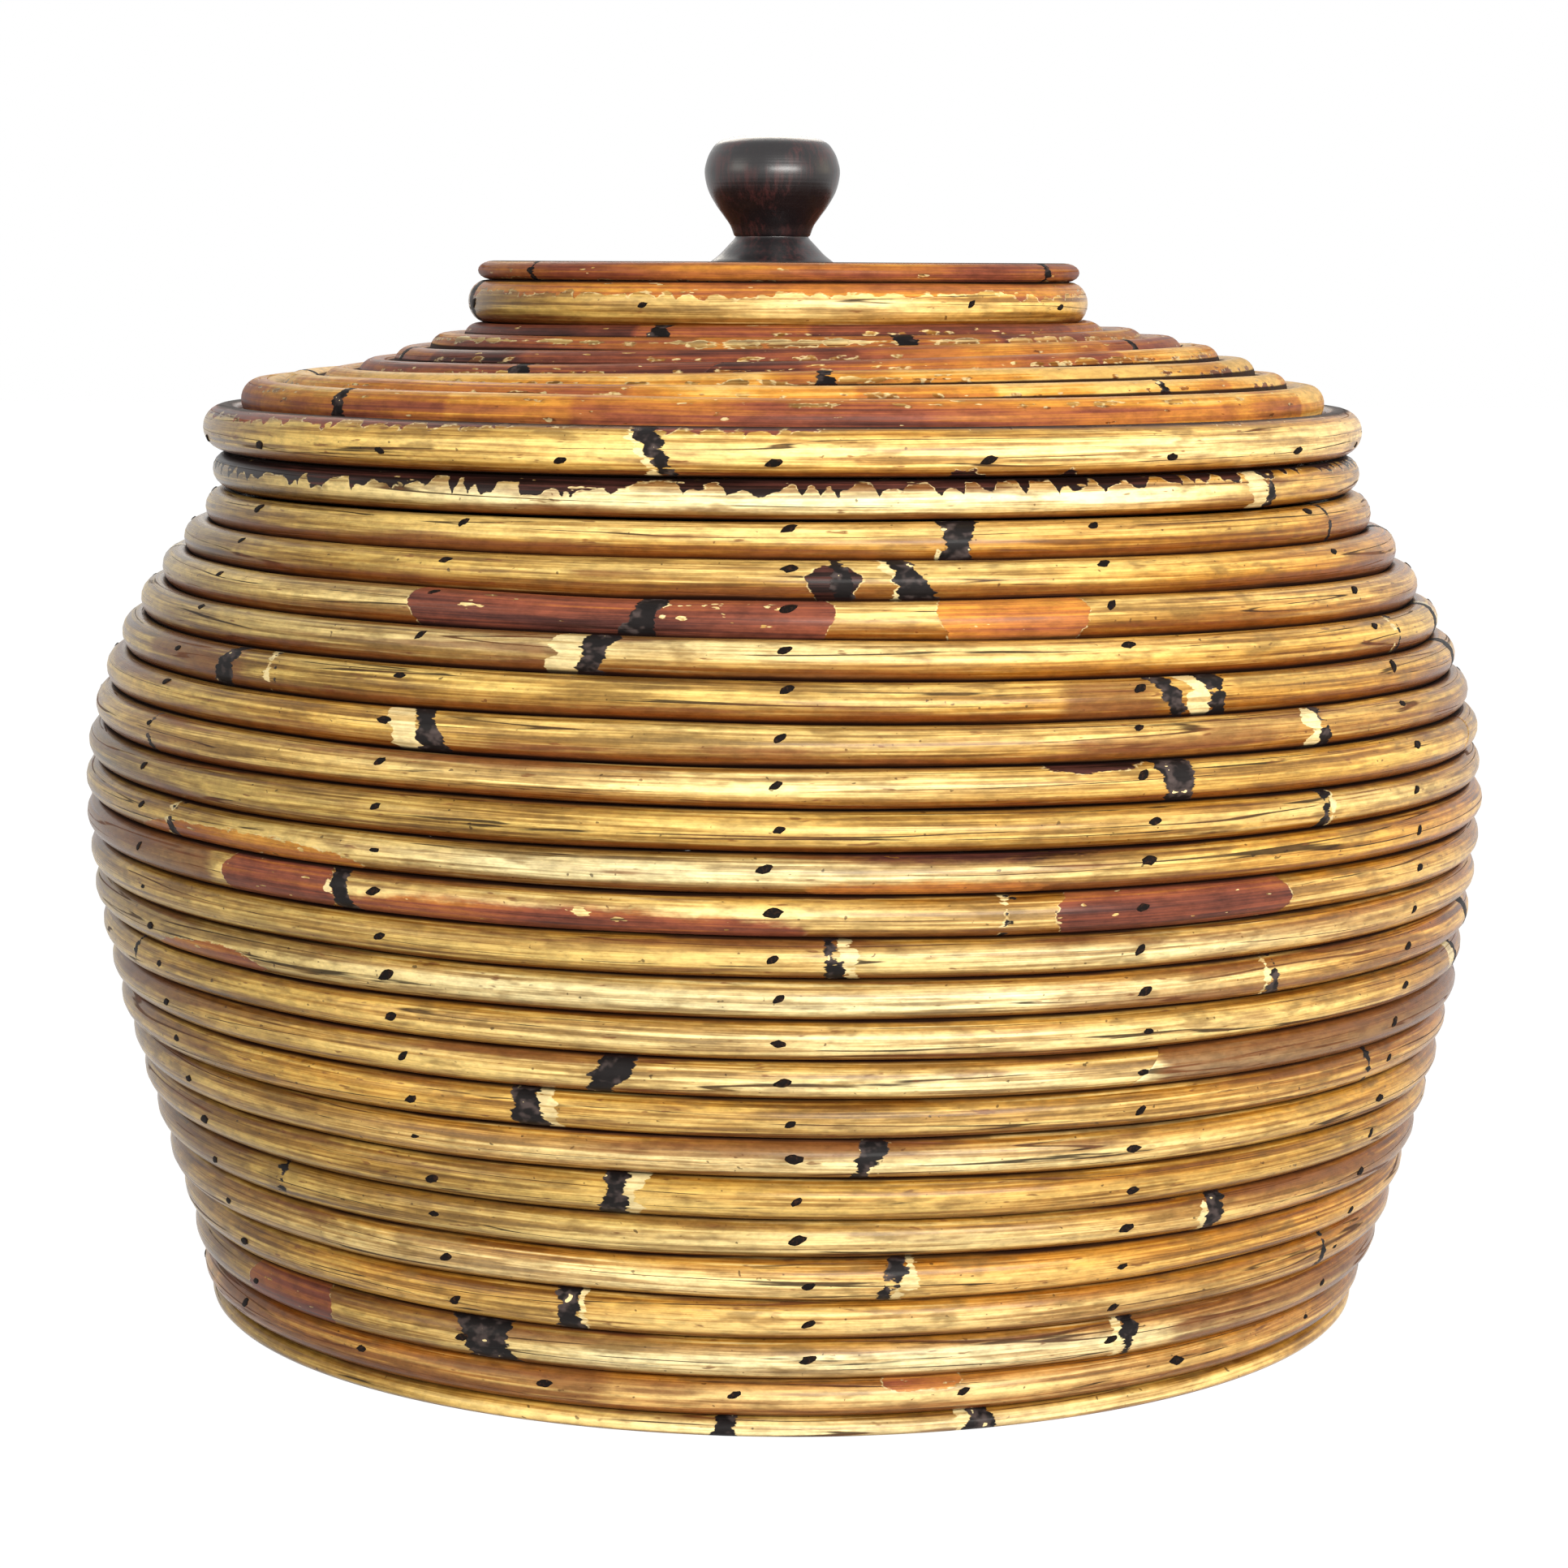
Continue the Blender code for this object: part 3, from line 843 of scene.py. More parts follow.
class Graph:
    """A node tree, built from short words."""

    def __init__(self, tree: bpy.types.NodeTree) -> None:
        """Takes a tree as it is."""
        self.nodes = tree.nodes
        self.links = tree.links

    def feed(self, socket: bpy.types.NodeSocket, value: Value) -> None:
        """Links a socket to a wire, or writes a number or colour on it.

        Args:
            socket: the input.
            value: what it gets.
        """
        if isinstance(value, Wire):
            self.links.new(value.socket, socket)
        elif isinstance(value, tuple) and socket.type == "RGBA":
            socket.default_value = (*value, 1.0)
        else:
            socket.default_value = value

    def add(self, kind: str, *values: Value, **settings: object) -> bpy.types.Node:
        """A new node.

        Args:
            kind: its type, without the usual first words.
            values: what its first inputs get.
            settings: its own settings.

        Returns:
            The node.
        """
        node = self.nodes.new("ShaderNode" + kind)
        for name, setting in settings.items():
            setattr(node, name, setting)
        for socket, value in zip(node.inputs, values):
            self.feed(socket, value)
        return node

    def math(self, operation: str, *values: Value) -> Wire:
        """A sum of up to two values."""
        return Wire(self, self.add("Math", *values, operation=operation).outputs[0])

    def attribute(self, name: str, output: str = "Fac") -> Wire:
        """A mesh attribute's value."""
        return Wire(self, self.add("Attribute", attribute_name=name).outputs[output])

    def place(self) -> Wire:
        """Object coordinates."""
        return Wire(self, self.add("TexCoord").outputs["Object"])

    def noise(self, place: Wire, scale: Triple, detail: float = 2.0, rough: float = 0.5) -> Wire:
        """Noise from 0 to 1.

        Args:
            place: the coordinates that it is laid on.
            scale: features a metre along each axis.
            detail: how many finer layers it has.
            rough: how strong each finer layer is.

        Returns:
            The noise.
        """
        mapping = self.add("Mapping", place)
        mapping.inputs["Scale"].default_value = scale
        node = self.add("TexNoise", Wire(self, mapping.outputs["Vector"]))
        for name, value in (("Scale", 1.0), ("Detail", detail), ("Roughness", rough)):
            node.inputs[name].default_value = value
        return Wire(self, node.outputs["Fac"])

    def span(self, value: Wire, low: Value, high: Value, out_low: float = 0.0, out_high: float = 1.0) -> Wire:
        """A smooth step of the value, from out_low at low to out_high at high."""
        node = self.add("MapRange", value, low, high, out_low, out_high, interpolation_type="SMOOTHSTEP")
        return Wire(self, node.outputs[0])

    def ramp(self, value: Wire, stops: Sequence[tuple[float, Colour]]) -> Wire:
        """A colour that runs through the stops as the value grows.

        Args:
            value: the value.
            stops: (value, colour) of each stop.

        Returns:
            The colour.
        """
        node = self.add("ValToRGB", value)
        points = node.color_ramp.elements
        for index, (at, colour) in enumerate(stops):
            point = points[index] if index < 2 else points.new(at)
            point.position = at
            point.color = (*colour, 1.0)
        return Wire(self, node.outputs["Color"])

    def mix(self, share: Value, under: Value, over: Value, blend: str = "MIX") -> Wire:
        """One colour laid over another.

        Args:
            share: how much of the upper colour shows.
            under: the lower colour.
            over: the upper colour.
            blend: how they mix.

        Returns:
            The mixed colour.
        """
        node = self.add("Mix", data_type="RGBA", blend_type=blend)
        lower, upper = (socket for socket in node.inputs if socket.type == "RGBA")
        for socket, value in ((node.inputs["Factor"], share), (lower, under), (upper, over)):
            self.feed(socket, value)
        return Wire(self, next(socket for socket in node.outputs if socket.type == "RGBA"))

    def scaled(self, colour: Value, factor: Value) -> Wire:
        """A colour times a number or another colour."""
        return self.mix(1.0, colour, factor, "MULTIPLY")

    def show_white(self, share: float, plain: bpy.types.Node, white: bpy.types.Node, output: str) -> None:
        """Shows the white shader to the camera and in reflections, and the plain one to all else.

        Args:
            share: how much of the white shader shows there.
            plain: the shader that other light meets.
            white: the shader that is seen.
            output: name of the tree's output node.
        """
        rays = self.add("LightPath").outputs
        kinds = ("Camera", "Glossy", "Transmission")
        camera, glossy, through = (Wire(self, rays[f"Is {kind} Ray"]) for kind in kinds)
        seen = camera.larger(glossy).larger(through) * share
        mixed = self.add("MixShader", seen, Wire(self, plain.outputs[0]), Wire(self, white.outputs[0]))
        self.links.new(mixed.outputs[0], self.nodes[output].inputs["Surface"])


class Finish(Graph):
    """A material's graph, with one Principled shader."""

    def __init__(self, name: str) -> None:
        """Starts a material of this name."""
        self.material = bpy.data.materials.new(name)
        self.material.use_nodes = True
        super().__init__(self.material.node_tree)
        self.shader = self.nodes["Principled BSDF"]

    def give(self, values: dict[str, Value]) -> None:
        """Feeds the shader's inputs by their names."""
        for name, value in values.items():
            self.feed(self.shader.inputs[name], value)

    def bump(self, height: Wire, strength: float, depth: float) -> bpy.types.Material:
        """Makes a height the shader's relief.

        Args:
            height: the height, about 0 to 1.
            strength: how much of it shows.
            depth: metres that 1 stands for.

        Returns:
            The finished material.
        """
        node = self.add("Bump")
        for name, value in (("Strength", strength), ("Distance", depth), ("Height", height)):
            self.feed(node.inputs[name], value)
        self.links.new(node.outputs["Normal"], self.shader.inputs["Normal"])
        return self.material


class CaneGraph(Finish):
    """A cane's graph, with the figures that several of its layers share."""

    def __init__(self, name: str) -> None:
        """Starts the material and its figures: slow clouds, fibres, strands, specks and jags."""
        super().__init__(name)
        self.straight = self.attribute("straight", "Vector")
        self.height = self.attribute("height")
        self.cloud = self.figure(26, 110, 3.0)
        self.fibre = self.figure(14, 1050, 3.0, 0.65)
        self.strand = self.figure(24, 420, 3.0, 0.6)
        self.speck = self.figure(600, 800, 1.0)
        self.jag = self.figure(190, 560, 3.0, 0.6)

    def figure(self, along: float, across: float, detail: float = 2.0, rough: float = 0.5) -> Wire:
        """Noise with so many features a metre along the laid-straight cane and across it."""
        return self.noise(self.straight, (along, across, across), detail, rough)


@dataclass(frozen=True)
class CaneFinish:
    """Varnished cane: straw skin with dark grain, node scars and patches of leaf sheath.

    Attributes:
        name: the material's name.
        skin: (warmth, colour) stops from weathered straw to amber.
        sheath: (tone, colour) stops of the sheath, near black to amber; the near-black end also paints the
            lid's shadow on the rim ring.
        streak: (grain, factor) stops that the skin's colour is multiplied by.
        stain: (height, colour) stops of the stain and painted shade between courses, lower side to upper.
        soaked: colour of a darkened stretch.
        grime: colour of the dirt rubbed into the skin.
        bleached: (bleach, colour) stops of light fibres and of the pale middle of the skin, which is wear and
            a painted highlight.
        crevice: near black of cracks and specks, and of the dirt and painted shade in the line between
            courses.
        scar: colours of a node scar, from its ground to its dusty crown.
        bare: colour of the bare skin beside a node.
        tooth: metres of the sheath's teeth.
        roughness: of the varnish.
        sheath_rough: how much rougher the sheath is.
        gloss: strength of its own reflections.
        coat: strength of the clear coat over it.
    """

    name: str
    skin: tuple[tuple[float, Colour], ...] = (
        (0.0, (0.290, 0.215, 0.078)),
        (0.25, (0.500, 0.345, 0.092)),
        (0.5, (0.670, 0.420, 0.090)),
        (0.75, (0.680, 0.345, 0.040)),
        (1.0, (0.520, 0.185, 0.014)),
    )
    sheath: tuple[tuple[float, Colour], ...] = (
        (0.0, (0.012, 0.005, 0.004)),
        (0.2, (0.075, 0.024, 0.018)),
        (0.45, (0.230, 0.062, 0.032)),
        (0.7, (0.450, 0.160, 0.032)),
        (0.85, (0.640, 0.290, 0.045)),
        (1.0, (0.800, 0.480, 0.140)),
    )
    streak: tuple[tuple[float, Colour], ...] = (
        (0.40, (0.20, 0.11, 0.06)),
        (0.48, (0.60, 0.47, 0.33)),
        (0.55, (1.0, 1.0, 1.0)),
    )
    stain: tuple[tuple[float, Colour], ...] = (
        (0.2, (0.150, 0.034, 0.006)),
        (0.8, (0.165, 0.052, 0.010)),
    )
    soaked: Colour = (0.160, 0.052, 0.016)
    grime: Colour = (0.200, 0.110, 0.030)
    bleached: tuple[tuple[float, Colour], ...] = (
        (0.35, (0.910, 0.620, 0.190)),
        (0.70, (0.940, 0.720, 0.310)),
        (1.00, (0.950, 0.810, 0.440)),
    )
    crevice: Colour = (0.010, 0.002, 0.001)
    scar: tuple[Colour, Colour] = ((0.008, 0.006, 0.006), (0.062, 0.045, 0.042))
    bare: Colour = (0.860, 0.700, 0.360)
    tooth: float = 3.2 * MM
    roughness: float = 0.28
    sheath_rough: float = 0.10
    gloss: float = 0.13
    coat: float = 0.06

    def make(self) -> bpy.types.Material:
        """Builds the material: skin, stains, sheath and node scars, then dirt and painted shade between
        courses.
        """
        g = CaneGraph(self.name)
        crack = self.cracks(g)
        skin = self.stained(g, self.straw(g, crack))
        skin, covered = self.sheathed(g, skin)
        colour, scarred, chip = self.scarred(g, skin)
        mottle = g.span(g.figure(230, 560, 3.0, 0.7), 0.32, 0.66, 0.76, 1.10)
        # Near black where a course meets its neighbour: dirt, and painted shade in the crevice
        dirt_and_shade = g.span(g.strand * 0.14 + g.attribute("seam"), 0.95, 1.045)
        colour = g.scaled(colour, g.attribute("shade") * mottle)
        rough = g.fibre * 0.22 + (self.roughness - 0.11) + scarred.larger(crack) * 0.35
        g.give({
            "Base Color": g.mix(dirt_and_shade * 0.97, colour, self.crevice),
            "Roughness": rough + covered * self.sheath_rough + dirt_and_shade * 0.4,
            "Specular IOR Level": self.gloss,
            "Coat Weight": self.coat,
            "Coat Roughness": 0.18,
        })
        return g.bump(covered * 0.5 + g.fibre * 0.6 + scarred * chip * 0.8 - crack * 0.5, 0.55, 0.25 * MM)

    def cracks(self, g: CaneGraph) -> Wire:
        """Long hairline cracks, where a slow noise crosses its middle."""
        line = abs(g.figure(5, 210, 2.0, 0.4) - 0.5)
        return g.span(line, 0.013, 0.005) * g.span(g.strand, 0.46, 0.53)

    def straw(self, g: CaneGraph, crack: Wire) -> Wire:
        """The skin with its dark grain, its light fibres and its pale middle, which is wear and a painted
        highlight, cracks, specks and grime.

        Args:
            g: the material's graph.
            crack: where it is cracked.

        Returns:
            The colour.
        """
        # Warmth carries the cane's own tone, with painted light on the right and painted shade on the left
        skin = g.ramp(g.cloud * 0.5 + g.attribute("warmth") - 0.25, self.skin)
        mixed = g.fibre * 0.45 + g.strand * 0.40 + g.cloud * 0.15
        skin = g.scaled(skin, g.ramp(mixed, self.streak))
        bleach = g.attribute("bleach")
        light = g.ramp(bleach, self.bleached)
        skin = g.mix(g.span(g.fibre, 0.53, 0.72, 0.0, 0.55), skin, light)
        # Pale band along each cane's middle height: wear, and a painted highlight
        middle = g.span(abs(g.height - 0.05), 0.88, 0.10)
        skin = g.mix(middle * bleach * g.span(mixed, 0.42, 0.56, 0.25, 1.0), skin, light)
        skin = g.mix(crack * 0.92, skin, self.crevice)
        skin = g.mix(g.span(g.speck, 0.73, 0.79, 0.0, 0.7), skin, self.crevice)
        skin = g.mix(g.span(g.figure(150, 700, 2.0, 0.6), 0.66, 0.74, 0.0, 0.75), skin, self.soaked)
        rubbed = g.height * 0.05 + g.figure(60, 230, 3.0, 0.65)
        return g.mix(g.span(rubbed, 0.54, 0.68, 0.0, 0.60), skin, self.grime)

    def stained(self, g: CaneGraph, skin: Wire) -> Wire:
        """The skin with stain soaked in from the lines between courses, with painted shade towards each
        cane's edges, and its dark stretches.
        """
        # Darker towards each cane's upper and lower edges: stain, and painted shade beside the crevices
        soak_and_shade = g.span(g.strand * 1.1 + abs(g.height - 0.13) - 0.55, 0.50, 1.04, 0.0, 0.92)
        skin = g.mix(soak_and_shade, skin, g.ramp(g.height * 0.5 + 0.5, self.stain))
        deep = (g.strand - 0.5) * 2.6 + g.attribute("stain")
        return g.mix(g.span(deep, 0.12, 0.85, 0.0, 0.84), skin, self.soaked)

    def sheathed(self, g: CaneGraph, skin: Wire) -> tuple[Wire, Wire]:
        """The skin under its leaf sheath, which ends in teeth and a pale lip and has flecks of skin.

        Args:
            g: the material's graph.
            skin: colour of the skin.

        Returns:
            The colour, and where the sheath covers it.
        """
        drifted = g.cloud * 0.7 + g.attribute("tone") - 0.35 + (g.fibre - 0.5) * 0.95
        sheath = g.ramp(g.height * 0.10 + drifted, self.sheath)
        ridge = (abs(g.figure(105, 30, 1.0) - 0.5) * -9.0 + 1.0).larger(0.0)
        tooth = ridge * g.attribute("teeth") * self.tooth
        edge = (g.jag - 0.5) * (-3.0 * MM) + g.attribute("sheath_edge") - tooth
        crisp = g.attribute("crisp")
        covered = g.span(edge / g.span(crisp, 0.0, 1.0, 1.1 * MM, 0.12 * MM), 1.0, -1.0)
        covered = covered * (1.0 - g.span(g.figure(190, 620), 0.69, 0.71))
        lip = g.span(edge, 0.45 * MM, 0.1 * MM) * g.span(g.speck, 0.46, 0.60, 0.0, 0.6) * crisp
        return g.mix(covered, g.mix(lip, skin, self.bare), sheath), covered

    def scarred(self, g: CaneGraph, colour: Wire) -> tuple[Wire, Wire, Wire]:
        """The colour with bare patches and node scars on it.

        Args:
            g: the material's graph.
            colour: colour of skin and sheath.

        Returns:
            The colour, where it is scarred, and the scars' chipped relief.
        """
        rag = g.jag * (-5.6 * MM) + 2.8 * MM
        bare, scarred = (
            g.span(g.attribute(edge) + rag, 0.15 * MM, -0.15 * MM) for edge in ("cream_edge", "node_edge")
        )
        worn = g.scaled(self.bare, g.ramp(g.fibre, ((0.38, (0.62, 0.52, 0.40)), (0.52, (1.0, 1.0, 1.0)))))
        chip = g.figure(300, 420)
        scar = g.mix(g.span(chip, 0.48, 0.66), *self.scar)
        scar = g.mix(g.span(chip, 0.70, 0.715), scar, self.bare)
        return g.mix(scarred, g.mix(bare * 0.92, colour, worn), scar), scarred, chip


@dataclass(frozen=True)
class WoodFinish:
    """Close-grained wood, stained near black and lacquered.

    Attributes:
        name: the material's name.
        dark: its colour under the stain.
        red: its colour where the stain is thin.
        roughness: of the lacquer.
    """

    name: str = "dark_turned_wood"
    dark: Colour = (0.006, 0.004, 0.005)
    red: Colour = (0.050, 0.013, 0.013)
    roughness: float = 0.38

    def make(self) -> bpy.types.Material:
        """Builds the material: grain runs up the knob, tool marks run round it."""
        g = Finish(self.name)
        grain = g.noise(g.place(), (900, 900, 60), 4.0, 0.6)
        marks = g.noise(g.place(), (6, 6, 1900))
        figure = grain * g.noise(g.place(), (90, 90, 90))
        g.give({
            "Base Color": g.mix(g.span(figure, 0.22, 0.40, 0.0, 0.8), self.dark, self.red),
            "Roughness": grain * 0.2 + (self.roughness - 0.1),
            "Coat Weight": 0.25,
            "Coat Roughness": 0.22,
        })
        return g.bump(marks + grain, 0.25, 0.15 * MM)


@dataclass(frozen=True)
class PegFinish:
    """End grain of a dark driven peg.

    Attributes:
        name: the material's name.
        dark: its colour.
        light: colour of its lightest grain.
    """

    name: str = "dark_peg"
    dark: Colour = (0.004, 0.002, 0.0015)
    light: Colour = (0.030, 0.012, 0.006)

    def make(self) -> bpy.types.Material:
        """Builds the material."""
        g = Finish(self.name)
        grain = g.noise(g.place(), (1400, 1400, 1400))
        colour = g.mix(g.span(grain, 0.5, 0.75), self.dark, self.light)
        g.give({"Base Color": colour, "Roughness": 0.75, "Specular IOR Level": 0.12})
        return g.bump(grain, 0.4, 0.2 * MM)


@dataclass(frozen=True)
class SteelFinish:
    """Plain plated steel with fine turning marks.

    Attributes:
        name: the material's name.
        bright: colour of the plating.
        dull: its colour where it has dulled.
    """

    name: str = "plated_steel"
    bright: Colour = (0.55, 0.55, 0.53)
    dull: Colour = (0.32, 0.29, 0.24)

    def make(self) -> bpy.types.Material:
        """Builds the material."""
        g = Finish(self.name)
        scratch = g.noise(g.place(), (600, 2400, 2400), 3.0)
        dulled = g.span(g.noise(g.place(), (300, 300, 300)), 0.5, 0.8)
        colour = g.mix(dulled, self.bright, self.dull)
        g.give({"Base Color": colour, "Metallic": 1.0, "Roughness": scratch * 0.25 + 0.22})
        return g.bump(scratch, 0.2, 0.05 * MM)


def dress(obj: bpy.types.Object, material: bpy.types.Material, body: str, slot: str, *nodes: str) -> None:
    """Gives a piece its finish, its body and the nodes that it stands for.

    Args:
        obj: the piece.
        material: its finish.
        body: the body that it rides on.
        slot: the record's material slot; not used.
        nodes: the CAD nodes that it replaces.
    """
    obj.data.materials.append(material)
    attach(obj, body)
    if nodes:
        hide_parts(*nodes)
    log.info("%s: %d faces on %s", obj.name, len(obj.data.polygons), body)


@dataclass
class Pegs:
    """Dark pegs that pin each course to the one below, seen as small slanted lozenges.

    Attributes:
        long: half length along the cane.
        tall: half height.
        proud: how far the crown stands out.
        tilt: angle of the long side, right end up.
        corners: corners of its outline.
    """

    long: float = 2.0 * MM
    tall: float = 1.05 * MM
    proud: float = 0.22 * MM
    tilt: float = math.radians(20)
    corners: int = 12

    def build(self, name: str, path: Path, turns: Array, height: float, seed: int) -> bpy.types.Object:
        """Makes one object of all the pegs along a path.

        Formula: each peg is a dome whose plan is a squared ellipse, laid on the cane's skin:
        a plan point (p, q) goes to distance + p and angle + q over the half thickness.

        Args:
            name: the object's name.
            path: the cane that they are driven into.
            turns: turn count of each peg.
            height: angle above the cane's middle, in radians.
            seed: number of the random draws.

        Returns:
            The object.
        """
        draw = np.random.default_rng(seed)
        count = len(turns)
        away = np.interp(turns, path.turn, path.distance)[:, None, None]
        half = np.interp(away, path.distance, path.half_up)
        lift = height + draw.normal(0, 0.09, (count, 1, 1))
        tilt = self.tilt + draw.normal(0, 0.25, (count, 1, 1))
        size = draw.uniform(0.8, 1.15, (count, 1, 1))
        rings = np.array([1.0, 0.72, 0.0])[None, :, None]
        rise = np.array([-0.7, 0.75, 1.0])[None, :, None] * self.proud
        angle = np.arange(self.corners)[None, None, :] / self.corners * TAU
        ragged = rings * draw.uniform(0.82, 1.12, (count, 1, self.corners))
        plan_x = self.long * size * ragged * np.sign(np.cos(angle)) * np.abs(np.cos(angle)) ** 1.35
        plan_y = self.tall * size * ragged * np.sign(np.sin(angle)) * np.abs(np.sin(angle)) ** 1.1
        # The path runs to the left at the front, so the right is backwards along it
        right = plan_x * np.cos(tilt) - plan_y * np.sin(tilt)
        above = plan_x * np.sin(tilt) + plan_y * np.cos(tilt)
        points = path.point(away - right, lift + above / half, 1 + rise / half)
        index = np.arange(count * 3 * self.corners).reshape(count, 3, self.corners)
        beside = np.roll(index, -1, axis=2)
        quads = np.stack([index[:, :2], beside[:, :2], beside[:, 1:], index[:, 1:]], axis=-1)
        return new_object(name, points.reshape(-1, 3), quads.reshape(-1, 4).tolist())


@dataclass
class Body:
    """The urn's body: base, foot ring, coiled wall and rim ring.

    Attributes:
        outline: the wall's outer side as (radius, height), foot to rim.
        depth: from the outer side in to the canes' centres.
        low: height of the wall's first edge on the centre outline.
        high: height of its last edge.
        courses: courses of cane in the wall.
        splices: turn counts where one length ends and the next begins.
        canes: thickness of each length, foot to rim.
        sway: (height, shift along X) by which the wall leaves its axis.
        rim_edge: (azimuth, height) of the sheath's edge on the rim ring, which is also the edge of the lid's
            painted shadow.
        warmths: how amber each length is.
        shades: how bright each length is.
        columns: azimuths of the columns of pegs.
        scars: node scars in sight.
        patches: patches of leaf sheath in sight.
        stains: darkened stretches in sight.
        ramp: turns over which the wall's level ends give way to a steady climb.
        waver: metres by which the line between two courses wanders.
        splice_cut: metres by which the cut at a splice leans.
        spare_scars: scars drawn at random along the whole coil.
        spare_patches: patches and stains drawn at random, of which the back keeps its own.
        column_lean: (course, degrees) by which the columns of pegs lean.
        foot: the foot ring.
        foot_pegs: azimuths of its pegs.
        rim: the rim ring.
        standing: the split ring that the urn stands on.
        standing_flat: metres of it that are pressed flat.
        base: centre of the base coil's first course and of its last.
    """

    outline: Outline = (
        (0.1440, 0.0088),
        (0.1468, 0.0218),
        (0.1524, 0.0386),
        (0.1599, 0.0641),
        (0.1661, 0.0896),
        (0.1700, 0.1168),
        (0.1697, 0.1321),
        (0.1671, 0.1491),
        (0.1597, 0.1661),
        (0.1513, 0.1797),
        (0.1416, 0.1933),
        (0.1360, 0.2008),
    )
    depth: float = 0.0047
    low: float = 0.0134
    high: float = 0.1962
    courses: int = 21
    splices: tuple[float, ...] = tuple(4.066 + 3.44 * k for k in range(5))
    canes: tuple[float, ...] = (0.0101, 0.0092, 0.0089, 0.0086, 0.0091, 0.0095)
    sway: Outline = (
        (0.0088, 0.0),
        (0.0134, 0.0005),
        (0.0220, 0.0014),
        (0.0300, 0.0018),
        (0.0400, 0.0018),
        (0.0520, 0.0014),
        (0.0660, 0.0010),
        (0.0900, 0.0003),
        (0.1170, 0.0),
    )
    rim_edge: Outline = ((-75, 0.55), (-45, 0.70), (-20, 0.80), (0, 0.86), (30, 0.90), (46, 1.2))
    warmths: tuple[float, ...] = (0.52, 0.50, 0.44, 0.44, 0.40, 0.40)
    shades: tuple[float, ...] = (0.92, 0.92, 0.96, 0.98, 1.04, 1.10)
    columns: tuple[float, ...] = (-150, -119, -88, -58, -30, 0, 27.5, 57.5, 88, 119, 149, 180)
    scars: tuple[Scar, ...] = (
        Scar(1, 15, 7.5, 1, 2),
        Scar(1, 61, 2),
        Scar(2, 10, 6.5, -5, 7),
        Scar(2, 4.5, 3.5, -2),
        Scar(3, -11, 7, 4, -3),
        Scar(4, -14.5, 6.5, 3, 8),
        Scar(4, 62, 1.6, 0, 3),
        Scar(5, -49.5, 6, 4),
        Scar(5, -43.5, 2, -1, 7),
        Scar(5, 30.2, 4.5, -5),
        Scar(5, 34.5, 5.5, -2, 7),
        Scar(6, -27, 6, -4, 8),
        Scar(6, 45, 3, -2, 6),
        Scar(7, -58, 2.5, 1),
        Scar(7, 29.5, 8, -2, -3),
        Scar(8, 44, 3.5, 1, -2),
        Scar(9, -53, 2.4, 2, 3),
        Scar(10, -33.5, 5, -2, 5),
        Scar(10, 16, 1.6, 1, 4),
        Scar(11, 3.5, 3.6, -1, -4),
        Scar(12, 39, 3.0, -1, 3),
        Scar(13, -63, 1.5, 0, 3),
        Scar(14, -13, 6.5, 5, -3),
        Scar(15, -19.5, 6.5, -2, -5),
        Scar(15, 54, 2),
        Scar(16, -52, 1.5),
        Scar(16, 6, 5, 3, -5),
        Scar(17, -13.5, 5.5, 1, -7),
        Scar(18, -47, 3, 1),
        Scar(18, 37, 4, 1, 4),
        Scar(19, 8, 3.6, 4, -9),
        Scar(20, -18.5, 5.5, -1, -7),
        Scar(20, 55, 2, 3),
        Scar(21, -26.5, 13, -3),
        Scar(21, 31, 3, 0, 3),
    )
    patches: tuple[Patch, ...] = (
        Patch(2, 1.5, 6.5, Side.LOWER, 0.1, 0.1),
        Patch(3, -32, 4, tone=0.40),
        Patch(3, 12, 25, tone=0.72),
        Patch(7, 18, 28, Side.UPPER, 0.55, 0.05),
        Patch(9, -60, -31, Side.LOWER, 0.1, 0.68, taper=0.9),
        Patch(9, 1, 19, Side.LOWER, -0.25, 0.78, taper=0.3, crisp=False),
        Patch(9, 1, 26, Side.UPPER, 0.72, 0.1, crisp=False),
        Patch(10, -46, -34, tone=0.36),
        Patch(10, -34, 2, Side.LOWER, 0.30, 0.50, crisp=False),
        Patch(10, 19.5, 40, tone=0.44),
        Patch(12, -60, -41, Side.LOWER, 0.15, 0.62, 9.0, 1.3),
        Patch(21, -58, -44, tone=0.46),
    )
    stains: tuple[Stain, ...] = (
        Stain(2, -20, 3, 0.5, 1.0),
        Stain(5, -66, -45, 0.75),
        Stain(5, 19, 31, 0.95, 0.3),
        Stain(4, -40, -16, 0.45, 0.4),
        Stain(6, -24, 34, 0.5, 1.0),
        Stain(8, -90, -50, 0.4),
        Stain(9, -20, 27, 0.35, 0.6),
        Stain(10, -95, -46, 0.95),
        Stain(10, 2, 20, 0.3, 0.4),
        Stain(13, 50, 90, 0.4),
        Stain(14, 27.9, 100, 0.95),
        Stain(15, -19, 12, 0.30),
        Stain(16, -70, -20, 0.45, 0.4),
        Stain(17, 10, 70, 0.3, 0.5),
        Stain(18, -90, -50, 0.5),
        Stain(19, -90, -40, 0.35),
        Stain(20, 20, 80, 0.45, 0.5),
        Stain(21, -80, -30, 0.4, 0.5),
        Stain(21, 34, 80, 0.6),
    )
    ramp: float = 4.0
    waver: float = 0.42 * MM
    splice_cut: float = 4.4 * MM
    spare_scars: int = 110
    spare_patches: int = 22
    column_lean: Outline = ((1, 0.3), (10, -0.9), (21, 1.7))
    foot: Ring = Ring(0.1388, 0.0088, 4.6 * MM, 4.5 * MM)
    foot_pegs: tuple[float, ...] = (-141, -121, -101, -81, -61, -41, -21, -4, 16, 38, 58, 79, 99, 119, 139)
    rim: Ring = Ring(0.1346, 0.2017, 4.4 * MM, 4.25 * MM)
    standing: Ring = Ring(0.13705, 0.0021, 4.55 * MM, 2.1 * MM)
    standing_flat: float = 0.9 * MM
    base: Outline = ((0.0060, 0.0064), (0.1322, 0.0064))

